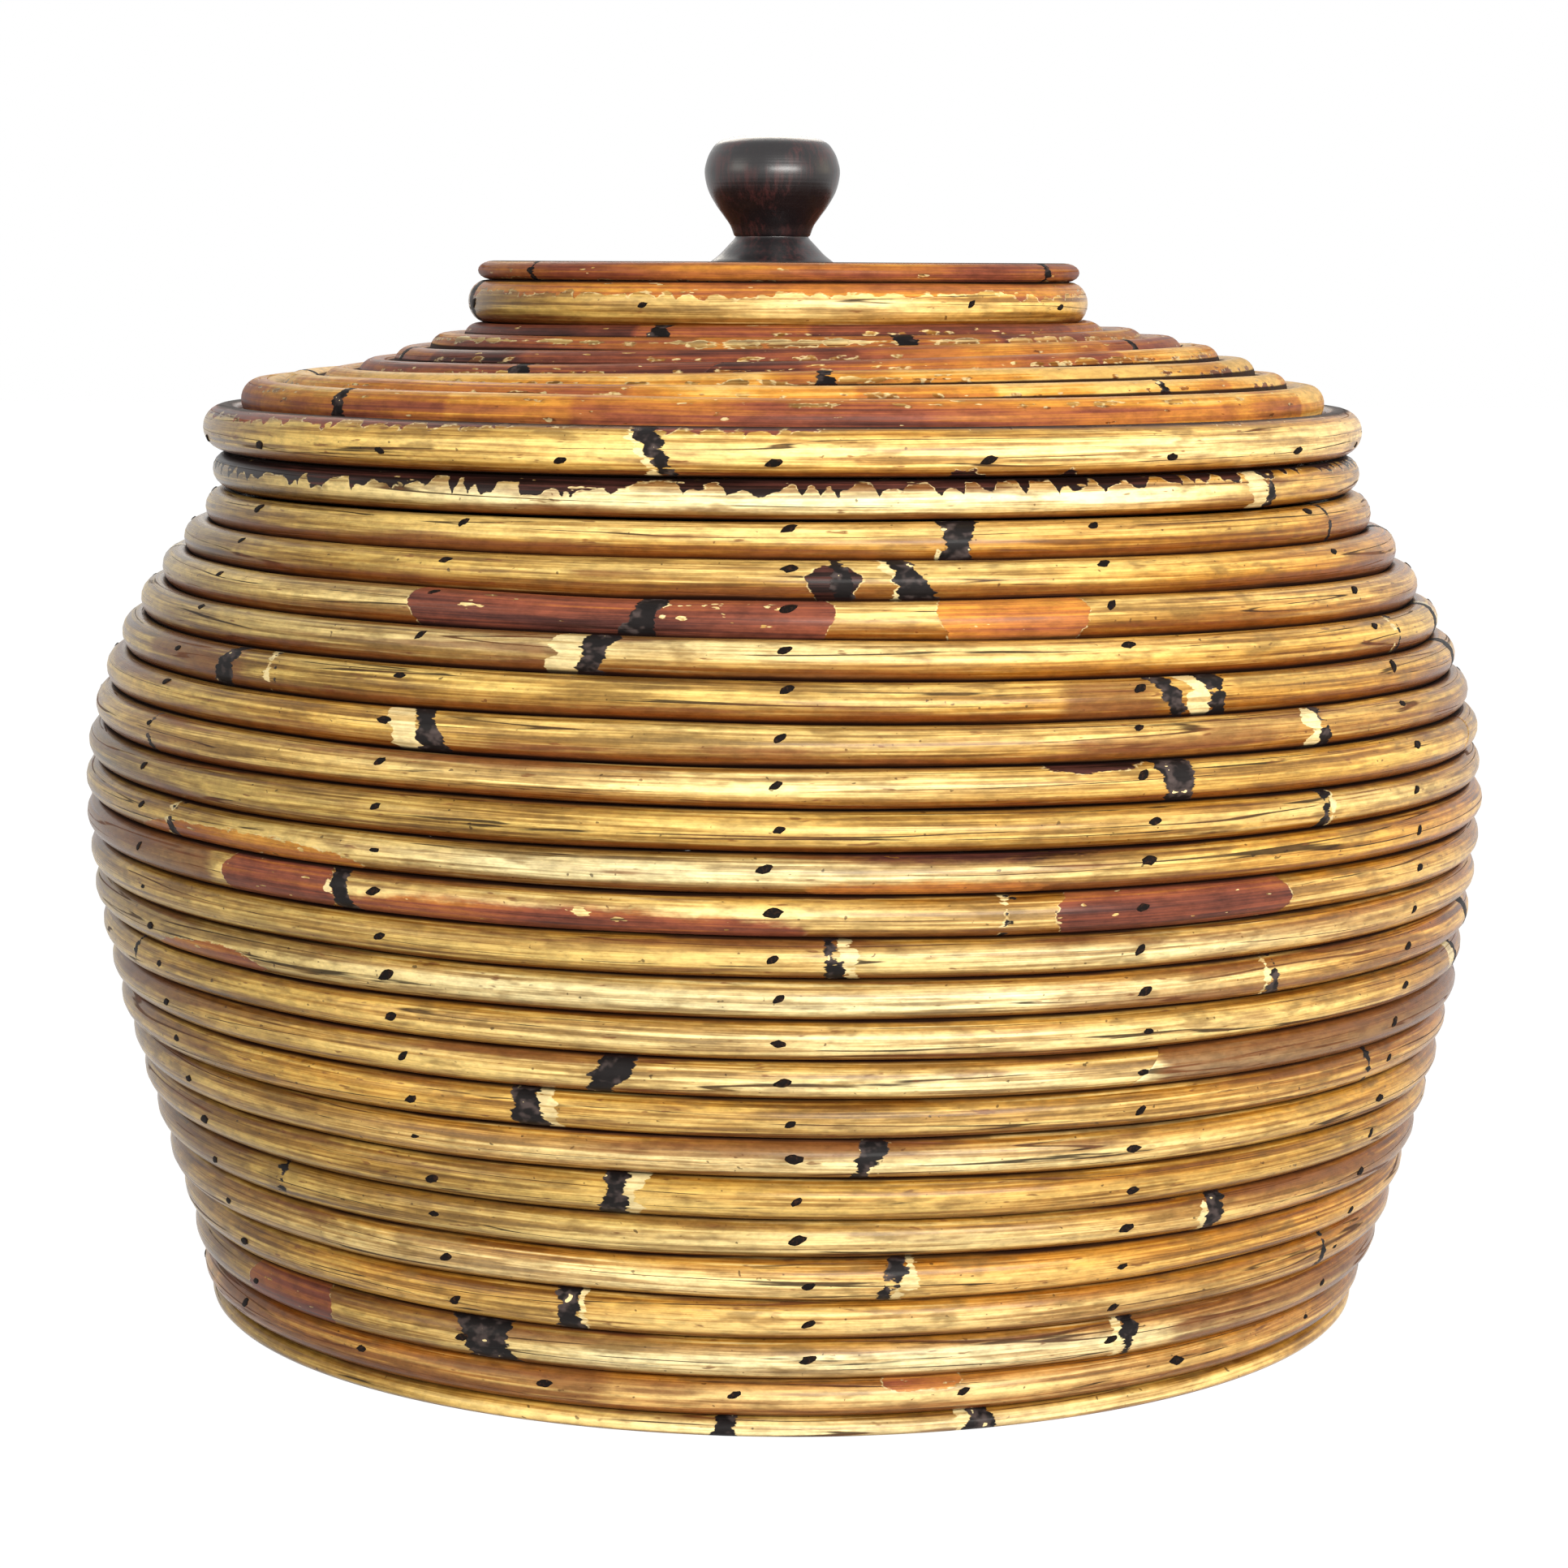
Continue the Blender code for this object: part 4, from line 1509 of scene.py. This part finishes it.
    def wall_path(self) -> Path:
        """The rising coil's path.

        Formula: the thickness runs evenly from one length's middle to the next's, and each
        course's edge lies at its sum up to there, scaled to fill the outline.
        """
        outline = inset(smooth_outline(self.outline), self.depth)
        marks = np.concatenate([[0.0], np.cumsum(np.hypot(*np.diff(outline, axis=0).T))])
        ends = np.interp((self.low, self.high), outline[:, 1], marks)
        inside = (marks > ends[0]) & (marks < ends[1])
        at = np.concatenate([ends[:1], marks[inside], ends[1:]])
        part = np.stack([np.interp(at, marks, c) for c in outline.T], axis=-1)
        cuts = np.array([0.0, *self.splices, self.courses])
        course = np.linspace(0, self.courses, 48 * self.courses + 1)
        thick = np.interp(course, (cuts[:-1] + cuts[1:]) / 2, self.canes)
        climbed = np.concatenate([[0.0], np.cumsum((thick[1:] + thick[:-1]) / 2)])

        def share(courses: Array) -> Array:
            """Share of the outline below each course's edge."""
            return np.interp(courses, course, climbed / climbed[-1])

        path = Winding(part, self.courses, self.ramp, length_to=share, waver=self.waver).path()
        return path.moved(table(self.sway, path.centre[:, 2]), 0 * path.turn)

    def build(self, looks: Looks) -> None:
        """Makes and dresses every piece of the body."""
        self.build_wall(looks)
        self.build_foot(looks)
        self.build_rim(looks)
        self.build_base(looks)

    def seen_marks(self) -> list[Mark]:
        """The node scars in sight, in turns and metres."""
        return [
            Mark(turn_of(s.course, s.azimuth, self.courses), s.width * MM / 2, s.skew * MM / 2, s.cream * MM)
            for s in self.scars
        ]

    def hidden_marks(self, draw: np.random.Generator) -> list[Mark]:
        """Node scars scattered along the whole coil, kept on the back only.

        Args:
            draw: the wall's random numbers.

        Returns:
            The scars.
        """
        turns = np.cumsum(draw.uniform(0.19, 0.34, self.spare_scars))
        widths = draw.uniform(1.5, 8, self.spare_scars)
        creams = draw.uniform(-9, 9, self.spare_scars)
        # 0 at the front and 0.5 at the back
        share = (AZIMUTH_BACK / 360 - turns) % 1.0
        behind = (share > 0.2) & (share < 0.8)
        spots = zip(turns[behind], widths[behind], creams[behind])
        return [Mark(turn, width * MM / 2, 0.0, cream * MM) for turn, width, cream in spots]

    def place(self, piece: Patch | Stain) -> tuple[float, float, Patch | Stain]:
        """A patch or stain with the turn counts of its two ends."""
        first, last = (turn_of(piece.course, a, self.courses) for a in (piece.left, piece.right))
        return first, last, piece

    def patches_and_stains(self, draw: np.random.Generator) -> tuple[list, list]:
        """Sheath and stains in sight, and others scattered over the back.

        Args:
            draw: the wall's random numbers.

        Returns:
            The placed patches and the placed stains.
        """
        laid = [self.place(patch) for patch in self.patches]
        stained = [self.place(stain) for stain in self.stains]
        for k in range(self.spare_patches):
            first = draw.uniform(0.6, 20)
            if 0.33 < (AZIMUTH_BACK / 360 - first) % 1.0 < 0.67:
                side = (Side.FULL, Side.LOWER, Side.UPPER)[k % 3]
                patch = Patch(side=side, tone=draw.uniform(0.25, 0.9))
                laid.append((first, first + draw.uniform(0.03, 0.13), patch))
                stained.append((first + 0.2, first + 0.36, Stain(low=0.4)))
        return laid, stained

    def peg_turns(self, path: Path, draw: np.random.Generator) -> Array:
        """Turn counts of the wall's pegs.

        Formula: azimuth = column + lean(course) cos(column) + a small random shift, with one
        peg a course in each column.

        Args:
            path: the wall's path.
            draw: the wall's random numbers.

        Returns:
            The turn counts, in order.
        """
        course = np.arange(1, self.courses + 1)[:, None]
        lean = table(self.column_lean, course) * np.cos(np.radians(self.columns))
        azimuth = np.array(self.columns) + lean + draw.normal(0, 0.3, (self.courses, len(self.columns)))
        turns = np.sort(turn_of(course, azimuth, self.courses).ravel())
        return turns[(turns > path.turn[0] + 0.2) & (turns < path.turn[-1] - 0.1)]

    def build_wall(self, looks: Looks) -> None:
        """The six lengths of the wall's coil and their pegs."""
        path = self.wall_path()
        draw = np.random.default_rng(11)
        marks = self.seen_marks() + self.hidden_marks(draw)
        laid, stained = self.patches_and_stains(draw)
        cuts = (path.turn[0], *self.splices, path.turn[-1])
        for count, (start, end) in enumerate(zip(cuts, cuts[1:]), 1):
            cane = Cane(f"wall_length_{count}", path, start, end, seed=40 + count)
            cane.start_cut = -self.splice_cut * (count > 1)
            cane.end_cut = -self.splice_cut * (count < len(cuts) - 1)
            cane.warmth, cane.shade = self.warmths[count - 1], self.shades[count - 1]
            cane.marks = [m for m in marks if start < m.turn < end]
            cane.patches = [p for p in laid if start < (p[0] + p[1]) / 2 < end]
            cane.stains = [s for s in stained if start < (s[0] + s[1]) / 2 < end]
            dress(cane.build(), looks["straw"], "urn", "straw_cane", f"wall_cane_{count}")
        pegs = Pegs().build("wall_pegs", path, self.peg_turns(path, draw), 0.18, 5)
        dress(pegs, looks["peg"], "urn", "dark_turned_wood")

    def build_foot(self, looks: Looks) -> None:
        """The foot ring and its pegs."""
        cane = self.foot.cane("foot_hoop", 60, warmth=0.90, bleach=0.50)
        cane.patches = [(0.537, 0.561, Patch(side=Side.UPPER, limit=0.35, tone=0.55))]
        cane.stains = [(0.62, 0.78, Stain()), (0.30, 0.42, Stain(depth=0.5))]
        dress(cane.build(), looks["straw"], "urn", "amber_cane", "foot_ring")
        pegs = Pegs().build("foot_pegs", cane.path, ring_turn(np.array(self.foot_pegs)), 0.1, 6)
        dress(pegs, looks["peg"], "urn", "dark_turned_wood")

    def build_rim(self, looks: Looks) -> None:
        """The rim ring, with dark sheath on its top that reaches furthest down on the left, which also paints
        the lid's shadow there.
        """
        # Near-black top: dark sheath, and the painted shadow of the lid's rim
        cane = self.rim.cane("rim_hoop", 61, warmth=0.40, teeth=0.9, tone=-0.12, bleach=0.9, shade=1.08)
        node = Mark(ring_turn(51), 1.4 * MM, -1.5 * MM, 7 * MM)
        cane.marks = [node, Mark(0.12, 3 * MM), Mark(0.86, 2 * MM)]

        def limit(away: Array) -> Array:
            """Height of the edge of the sheath and painted shadow on the section."""
            return table(self.rim_edge, cane.path.azimuth(away)) + 0.12 * drift(away, 24 * MM, 64)

        cane.sheath = sheath_above(limit, self.rim.half_up)
        dress(cane.build(), looks["straw"], "urn", "straw_cane", "rim_ring")

    def build_base(self, looks: Looks) -> None:
        """The split ring that the urn stands on and the flat coil inside it."""
        cane = self.standing.cane("standing_hoop", 62, 2 * MM, warmth=0.40)
        cane.marks = [Mark(ring_turn(-5), 2.5 * MM), Mark(ring_turn(18), 3.5 * MM, 0.0, 6 * MM)]
        hoop = cane.build()
        flatten_below(hoop, self.standing_flat)
        dress(hoop, looks["straw"], "urn", "straw_cane", "base_ring")

        path = Winding(np.array(self.base), 11, 1.0, level_start=False, fullness=0.93).path()
        cane = Cane("base_spiral", path, path.turn[0], path.turn[-1], seed=63, sides=16, step=3.4 * MM)
        cane.marks = [Mark(t, 2.5 * MM, 0.0, 5 * MM) for t in np.arange(1.3, 10.8, 0.43)]
        cane.patches = [(4.1, 4.6, Patch()), (7.3, 7.45, Patch()), (9.6, 9.8, Patch())]
        cane.stains = [(5.2, 5.7, Stain(depth=0.7)), (8.2, 8.6, Stain())]
        dress(cane.build(), looks["straw"], "urn", "straw_cane", "base_coil")


def flatten_below(obj: bpy.types.Object, depth: float) -> None:
    """Presses what lies less than this depth above the floor flat onto it.

    Formula: height = max(height - depth, 0) stretched back so that the top stays.

    Args:
        obj: the piece, which reaches down to the floor or below it.
        depth: how much of it is pressed flat.
    """
    mesh = obj.data
    co = np.empty(len(mesh.vertices) * 3, np.float32)
    mesh.vertices.foreach_get("co", co)
    height = co[2::3]
    top = height.max()
    co[2::3] = np.maximum(height - depth, 0) * top / (top - depth)
    mesh.vertices.foreach_set("co", co)
    mesh.update()


@dataclass
class Lid:
    """The lid: thick rim, conical coil, two inner rings and the raised collar.

    Attributes:
        shift: metres that the rim and the cone sit along X.
        collar_shift: metres that the collar sits along X.
        rim: the ring round its edge.
        inner: the two rings that drop into the mouth.
        shell_inner: centre of the cone's last course as (radius, height).
        shell_outer: centre of its first.
        shell_tilt: metres by which one side bulges up and the other sags.
        shell_courses: courses in the cone.
        shell_splice: turn count where its two lengths meet.
        collar: the collar's ring, on its own axis.
        collar_pegs: azimuths of its pegs.
        cap: the split ring on top of it.
        coil: centre of the collar coil's first course and of its last.
        rim_edge: (azimuth, height) of the sheath's edge on the rim.
        worn_middle: (turn, height) of the worn line along the cone's courses.
        worn_half: (turn, half width) of that line.
        shell_tone: (turn, tone) of the cone's sheath.
    """

    shift: float = -0.0008
    collar_shift: float = -0.0020
    rim: Ring = Ring(0.1349, 0.2117, 0.0054, 0.0054, shift)
    inner: tuple[Ring, Ring] = (
        Ring(0.1242, 0.2084, 4 * MM, 3.95 * MM, shift),
        Ring(0.1242, 0.2005, 4 * MM, 3.95 * MM, shift),
    )
    shell_inner: tuple[float, float] = (0.0734, 0.2325)
    shell_outer: tuple[float, float] = (0.1265, 0.2181)
    shell_tilt: float = 0.0026
    shell_courses: int = 7
    shell_splice: float = 3.6042
    collar: Ring = Ring(0.0706, 0.2417, 4.6 * MM, 5.2 * MM)
    collar_pegs: tuple[float, ...] = (-75, -24, 1.6, 36, 62, 98, 131, 165, -108, -140)
    cap: Ring = Ring(0.0693, 0.2491, 3.8 * MM, 2.3 * MM)
    coil: Outline = ((0.0056, 0.2462), (0.0652, 0.2462))
    rim_edge: Outline = ((-80, 0.78), (-45, 0.82), (-30, 0.93), (-20, 1.15), (-8, 0.92), (0, 0.98), (6, 1.2))
    worn_middle: Outline = (
        (0.9, -0.50), (1.2, -0.68), (5.2, -0.68), (5.6, -0.45), (6.3, -0.45), (6.6, -0.66),
    )
    worn_half: Outline = (
        (0.42, 0.00), (0.47, 0.15), (0.58, 0.13), (0.61, 0.03), (1.4, 0.08), (3, 0.09),
        (4, 0.05), (5, 0.03), (5.4, 0.18), (6.2, 0.18), (6.6, 0.0),
    )
    shell_tone: Outline = (
        (0, 0.78), (1.2, 0.72), (1.6, 0.66), (2.7, 0.84), (3.2, 0.60),
        (3.8, 0.38), (5, 0.36), (5.8, 0.70), (6.6, 0.42),
    )

    def shell_path(self) -> Path:
        """The conical coil's path, rim to collar.

        Formula: a rising coil along the slope, with tilt * sin(pi share) cos(azimuth) added
        to its height, and moved along X from the rim's place to the collar's.
        """
        inner, outer = np.array(self.shell_inner), np.array(self.shell_outer)
        half = (inner - outer) / (self.shell_courses - 1) / 2
        slope = np.array([outer - half, inner + half])
        path = Winding(slope, self.shell_courses, 2.0, waver=0.3 * MM).path()
        radius = np.hypot(path.centre[:, 0], path.centre[:, 1])
        share = np.clip((outer[0] - radius) / (outer[0] - inner[0]), 0, 1)
        lift = self.shell_tilt * np.sin(math.pi * share) * path.centre[:, 0] / radius
        return path.moved(self.shift + share * (self.collar_shift - self.shift), lift)

    def build(self, looks: Looks) -> None:
        """Makes and dresses every piece of the lid but the knob."""
        self.build_rim(looks)
        self.build_inner(looks)
        self.build_shell(looks)
        self.build_collar(looks)

    def build_rim(self, looks: Looks) -> None:
        """The rim, with sheath along its inner shoulder, and its pegs."""
        cane = self.rim.cane("lid_rim_hoop", 70, 4 * MM, sides=28, warmth=0.44, teeth=0.45, tone=0.24)
        # A brighter, paler rim than the rest: partly a painted highlight along it
        cane.shade, cane.bleach = 1.14, 1.05
        scar = Mark(ring_turn(-11), 2.2 * MM, -3 * MM, 3 * MM)
        cane.marks = [scar, Mark(0.1, 2 * MM), Mark(0.87, 3 * MM, 0.0, 6 * MM)]
        low = Patch(side=Side.LOWER, limit=-0.62, tone=0.2, round_end=0.0, taper=1.0)
        cane.patches = [(ring_turn(a), ring_turn(b), low) for a, b in ((13.2, 19.5), (24.5, 28.0))]

        def limit(away: Array) -> Array:
            """Height of the sheath's edge on the section, lowest on the left."""
            return table(self.rim_edge, cane.path.azimuth(away)) + 0.07 * drift(away, 15 * MM, 74)

        cane.sheath = sheath_above(limit, self.rim.half_up)
        dress(cane.build(), looks["straw"], "lid", "straw_cane", "lid_rim_ring")
        spots = np.arange(-9, 10) * 18.9 - 0.7
        pegs = Pegs().build("lid_rim_pegs", cane.path, ring_turn(spots), -0.35, 7)
        dress(pegs, looks["peg"], "lid", "dark_turned_wood")

    def build_inner(self, looks: Looks) -> None:
        """The two rings that drop into the mouth."""
        for count, (node, ring) in enumerate(zip(("lid_inner_ring", "lid_locating_ring"), self.inner)):
            cane = ring.cane(f"{node}_hoop", 71 + count)
            first = Mark(0.2 + 0.1 * count, 2 * MM)
            cane.marks = [first, Mark(0.55, 3 * MM, 0.0, 6 * MM), Mark(0.8, 1.5 * MM)]
            dress(cane.build(), looks["straw"], "lid", "straw_cane", node)

    def build_shell(self, looks: Looks) -> None:
        """The two lengths of the conical coil."""
        path = self.shell_path()
        # Each stretch between two nodes has its own tone
        stretches = np.random.default_rng(84).uniform(-1, 1, 400)

        def covering(away: Array, angle: Array) -> Array:
            """Sheath covers all but a broken, worn line along each course's lower side."""
            turn = path.read(path.turn, away)
            middle = table(self.worn_middle, turn) + 0.05 * drift(away, 30 * MM, 83)
            wide = table(self.worn_half, turn)
            wide = wide + 0.09 * drift(away, 60 * MM, 81) + 0.09 * drift(away, 7 * MM, 82)
            return (wide - np.abs(np.sin(angle) - middle)) * 4.4 * MM

        def colour(away: Array, angle: Array) -> Array:
            """Amber and orange near the rim, red-brown and then purple-brown to the collar."""
            turn = path.read(path.turn, away)
            side = np.sin(np.radians(path.azimuth(away)))
            side = np.clip(side, -0.35 * side, 0.6) * np.interp(turn, (4, 5.5), (0.42, 0.20))
            parts = stretches[(away / (37 * MM) + 0.6 * drift(away, 90 * MM, 87) + 2).astype(int) % 400]
            # The first course's underside drops in tone: painted shade where it meets the rim
            under = 0.16 * smoothstep((-0.55 - np.sin(angle)) / 0.3) * (turn < 1.1)
            figure = 0.12 * drift(away, 8 * MM, 85) * drift(away, 60 * MM, 86)
            return table(self.shell_tone, turn) + side - under + 0.17 * parts + figure

        def behind(away: Array) -> Array:
            """The first course stands clear, and the others sink behind the one before; the painted shade
            between courses follows this.
            """
            return 1.10 - 0.29 * smoothstep((path.read(path.turn, away) - 1.0) / 0.17)

        cuts = (path.turn[0], self.shell_splice, path.turn[-1])
        nodes = [Mark(t, (0.8 + (k * 7 % 5) * 0.5) * MM) for k, t in enumerate(np.arange(0.35, 7.0, 0.37))]
        for count, (start, end) in enumerate(zip(cuts, cuts[1:]), 1):
            cane = Cane(f"lid_shell_length_{count}", path, start, end, seed=80 + 3 * count)
            cane.sides, cane.step = 28, 1.7 * MM
            cane.warmth, cane.teeth = 0.56, 0.5
            cane.tone, cane.sheath, cane.hidden = colour, covering, behind
            cane.start_cut = -4 * MM * (count == 2)
            cane.end_cut = -4 * MM * (count == 1)
            cane.marks = [m for m in nodes if start < m.turn < end]
            dress(cane.build(), looks["russet"], "lid", "russet_cane", f"lid_shell_cane_{count}")

    def build_collar(self, looks: Looks) -> None:
        """The collar's two rings, its pegs and the flat coil that closes it."""
        cane = self.collar.cane("collar_hoop", 90, sides=24, step=1.6 * MM, warmth=0.50, teeth=0.35)
        cane.tone, cane.bleach, cane.shade = 0.60, 0.62, 1.04
        cane.marks = [Mark(0.15, 2 * MM), Mark(0.8, 3 * MM)]
        cane.sheath = sheath_above(lambda away: 0.58 + 0.16 * drift(away, 9 * MM, 95), 4.5 * MM)
        dress(self.seated(cane.build()), looks["straw"], "lid", "straw_cane", "collar_ring")
        pegs = Pegs().build("collar_pegs", cane.path, ring_turn(np.array(self.collar_pegs)), 0.1, 8)
        dress(self.seated(pegs), looks["peg"], "lid", "dark_turned_wood")

        cane = self.cap.cane("collar_cap_hoop", 91, 2 * MM, step=1.6 * MM, warmth=0.66, teeth=0.5)
        cane.tone = lambda away, angle: 0.54 + 0.12 * drift(away, 33 * MM, 96)
        cane.marks = [Mark(ring_turn(-52), 1.0 * MM), Mark(ring_turn(60), 1.2 * MM)]
        cane.sheath = sheath_above(lambda away: -0.75 + 0.4 * drift(away, 22 * MM, 92), 4 * MM)
        dress(self.seated(cane.build()), looks["russet"], "lid", "russet_cane", "collar_cap_ring")

        path = Winding(np.array(self.coil), 6, 1.0, level_start=False, fullness=0.84).path()
        cane = Cane("collar_spiral", path, path.turn[0], path.turn[-1], seed=93, sides=16)
        cane.warmth, cane.teeth = 0.62, 0.5
        cane.marks = [Mark(t, 2.0 * MM) for t in np.arange(1.2, 5.8, 0.61)]
        cane.sheath = lambda away, angle: (np.cos(angle) + 0.2 + 0.5 * drift(away, 50 * MM, 94)) * 4 * MM
        dress(self.seated(cane.build()), looks["russet"], "lid", "russet_cane", "collar_coil")

    def seated(self, obj: bpy.types.Object) -> bpy.types.Object:
        """A piece of the collar, moved onto the collar's own axis."""
        obj.data.transform(Matrix.Translation((self.collar_shift, 0.0, 0.0)))
        return obj


@dataclass
class Knob:
    """The turned knob with its washer and screw.

    Attributes:
        shift: metres that it sits along X.
        outline: its side as (radius, height above its seat), crown to seat.
    """

    shift: float = -0.0036
    outline: Outline = (
        (0.0085, 0.0311),
        (0.0129, 0.0299),
        (0.0149, 0.0277),
        (0.0160, 0.0251),
        (0.0164, 0.0222),
        (0.0155, 0.0182),
        (0.0136, 0.0147),
        (0.0118, 0.0122),
        (0.0102, 0.0099),
        (0.0093, 0.0076),
        (0.0089, 0.0070),
        (0.0105, 0.0052),
        (0.0128, 0.0028),
        (0.0150, 0.0010),
    )

    def build(self, looks: Looks) -> None:
        """Makes and dresses the knob, and dresses its fixing."""
        low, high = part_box("knob")
        line = smooth_outline([(0.0, 0.0311), *self.outline, (0.0150, 0.0)], 6)
        line[:, 1] += low.z
        line[:, 1] = np.minimum(line[:, 1], high.z)
        profile = np.concatenate([line[:1] * (0, 1), line[1:], [(0.0, low.z)]])
        knob = turned_object("turned_knob", profile, self.shift)
        dress(knob, looks["ebony"], "lid", "dark_turned_wood", "knob")
        for node in ("knob_washer", "knob_screw"):
            obj = bpy.data.objects[node]
            obj.material_slots[0].material = looks["steel"]
            log.info("%s: dressed", node)


@dataclass(frozen=True)
class Lamp:
    """A soft rectangular lamp aimed at the urn's middle.

    Attributes:
        name: the lamp's name.
        azimuth: degrees from the camera's side, positive to the right.
        elevation: degrees above the horizon.
        distance: from the urn's middle.
        size: width and height.
        power: watts.
        colour: of its light.
    """

    name: str
    azimuth: float
    elevation: float
    distance: float
    size: tuple[float, float]
    power: float
    colour: Colour

    def build(self) -> None:
        """Hangs the lamp."""
        data = bpy.data.lights.new(self.name, "AREA")
        data.shape = "RECTANGLE"
        data.size, data.size_y = self.size
        data.energy = self.power
        data.color = self.colour
        lamp = bpy.data.objects.new(self.name, data)
        a, e = math.radians(self.azimuth), math.radians(self.elevation)
        away = Vector((math.sin(a) * math.cos(e), -math.cos(a) * math.cos(e), math.sin(e)))
        lamp.location = Vector((0.0, 0.0, 0.12)) + away * self.distance
        lamp.rotation_euler = away.to_track_quat("Z", "Y").to_euler()
        bpy.context.scene.collection.objects.link(lamp)


@dataclass
class Studio:
    """Camera, pale floor and soft light.

    Attributes:
        distance: from the urn's axis to the camera.
        height: of the camera above the floor.
        pitch: angle that it looks down, in degrees.
        roll: of the camera, in degrees.
        focal_pixels: focal length in pixels of the photograph's frame.
        frame_pixels: width of the photograph.
        sensor: width of the camera's sensor, in millimetres.
        floor_reach: metres from the urn to the floor's edges.
        floor_colour: the floor's colour in the light that it throws back.
        floor_glow: brightness of the floor's own white.
        floor_white: share of that white in what the camera sees.
        ambient: strength of the plain light from all round.
        lamps: the lamps.
    """

    distance: float = 0.9527
    height: float = 0.2511
    pitch: float = 7.64
    roll: float = 0.295
    focal_pixels: float = 4783.0
    frame_pixels: float = 1932.0
    sensor: float = 36.0
    floor_reach: float = 6.0
    floor_colour: Colour = (0.46, 0.45, 0.44)
    floor_glow: float = 1.17
    floor_white: float = 0.84
    ambient: float = 0.30
    lamps: tuple[Lamp, ...] = (
        Lamp("key", 22, 15, 1.7, (1.4, 0.42), 39.5, (1.0, 0.985, 0.94)),
        Lamp("fill", -60, 18, 1.9, (0.9, 0.8), 7.5, (1.0, 0.95, 0.84)),
        Lamp("rim", 100, 14, 1.9, (0.9, 0.8), 3.0, (1.0, 0.82, 0.54)),
        Lamp("back", 185, 32, 1.9, (0.9, 0.8), 10.0, (1.0, 0.93, 0.82)),
    )

    def build(self) -> None:
        """Sets up the whole studio."""
        self.camera()
        self.floor()
        self.world()
        for lamp in self.lamps:
            lamp.build()
        bpy.context.scene.view_settings.view_transform = "Standard"

    def camera(self) -> None:
        """The camera at the photograph's viewing angle."""
        data = bpy.data.cameras.new("camera")
        data.sensor_width = self.sensor
        data.lens = self.focal_pixels / self.frame_pixels * self.sensor
        cam = bpy.data.objects.new("camera", data)
        turn = Matrix.Rotation(math.radians(90 - self.pitch), 4, "X")
        roll = Matrix.Rotation(math.radians(self.roll), 4, "Z")
        cam.matrix_world = Matrix.Translation((0.0, -self.distance, self.height)) @ turn @ roll
        bpy.context.scene.collection.objects.link(cam)
        bpy.context.scene.camera = cam

    def floor(self) -> None:
        """A pale floor, white to the camera apart from the urn's shadow."""
        corners = np.array([(-1, -1, 0), (1, -1, 0), (1, 1, 0), (-1, 1, 0)]) * self.floor_reach
        obj = new_object("floor", corners, [[0, 1, 2, 3]])
        g = Finish("pale_floor")
        g.give({"Base Color": self.floor_colour, "Roughness": 0.9})
        g.show_white(self.floor_white, g.shader, g.add("Emission", WHITE, self.floor_glow), "Material Output")
        obj.data.materials.append(g.material)

    def world(self) -> None:
        """White to the camera and in reflections, and a plain grey for light."""
        world = bpy.data.worlds.new("studio")
        bpy.context.scene.world = world
        world.use_nodes = True
        g = Graph(world.node_tree)
        plain = g.nodes["Background"]
        g.feed(plain.inputs["Color"], WHITE)
        g.feed(plain.inputs["Strength"], self.ambient)
        g.show_white(1.0, plain, g.add("Background", WHITE, 1.0), "World Output")


def main() -> None:
    """Loads the frame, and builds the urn."""
    logging.basicConfig(level=logging.INFO, format="%(message)s")
    for obj in list(bpy.data.objects):
        bpy.data.objects.remove(obj, do_unlink=True)
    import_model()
    looks = {
        "straw": CaneFinish("straw_cane").make(),
        "russet": CaneFinish("russet_cane", tooth=1.6 * MM, roughness=0.40, gloss=0.08, coat=0.04).make(),
        "ebony": WoodFinish().make(),
        "peg": PegFinish().make(),
        "steel": SteelFinish().make(),
    }
    Studio().build()
    Body().build(looks)
    Lid().build(looks)
    Knob().build(looks)


if __name__ == "__main__":
    main()
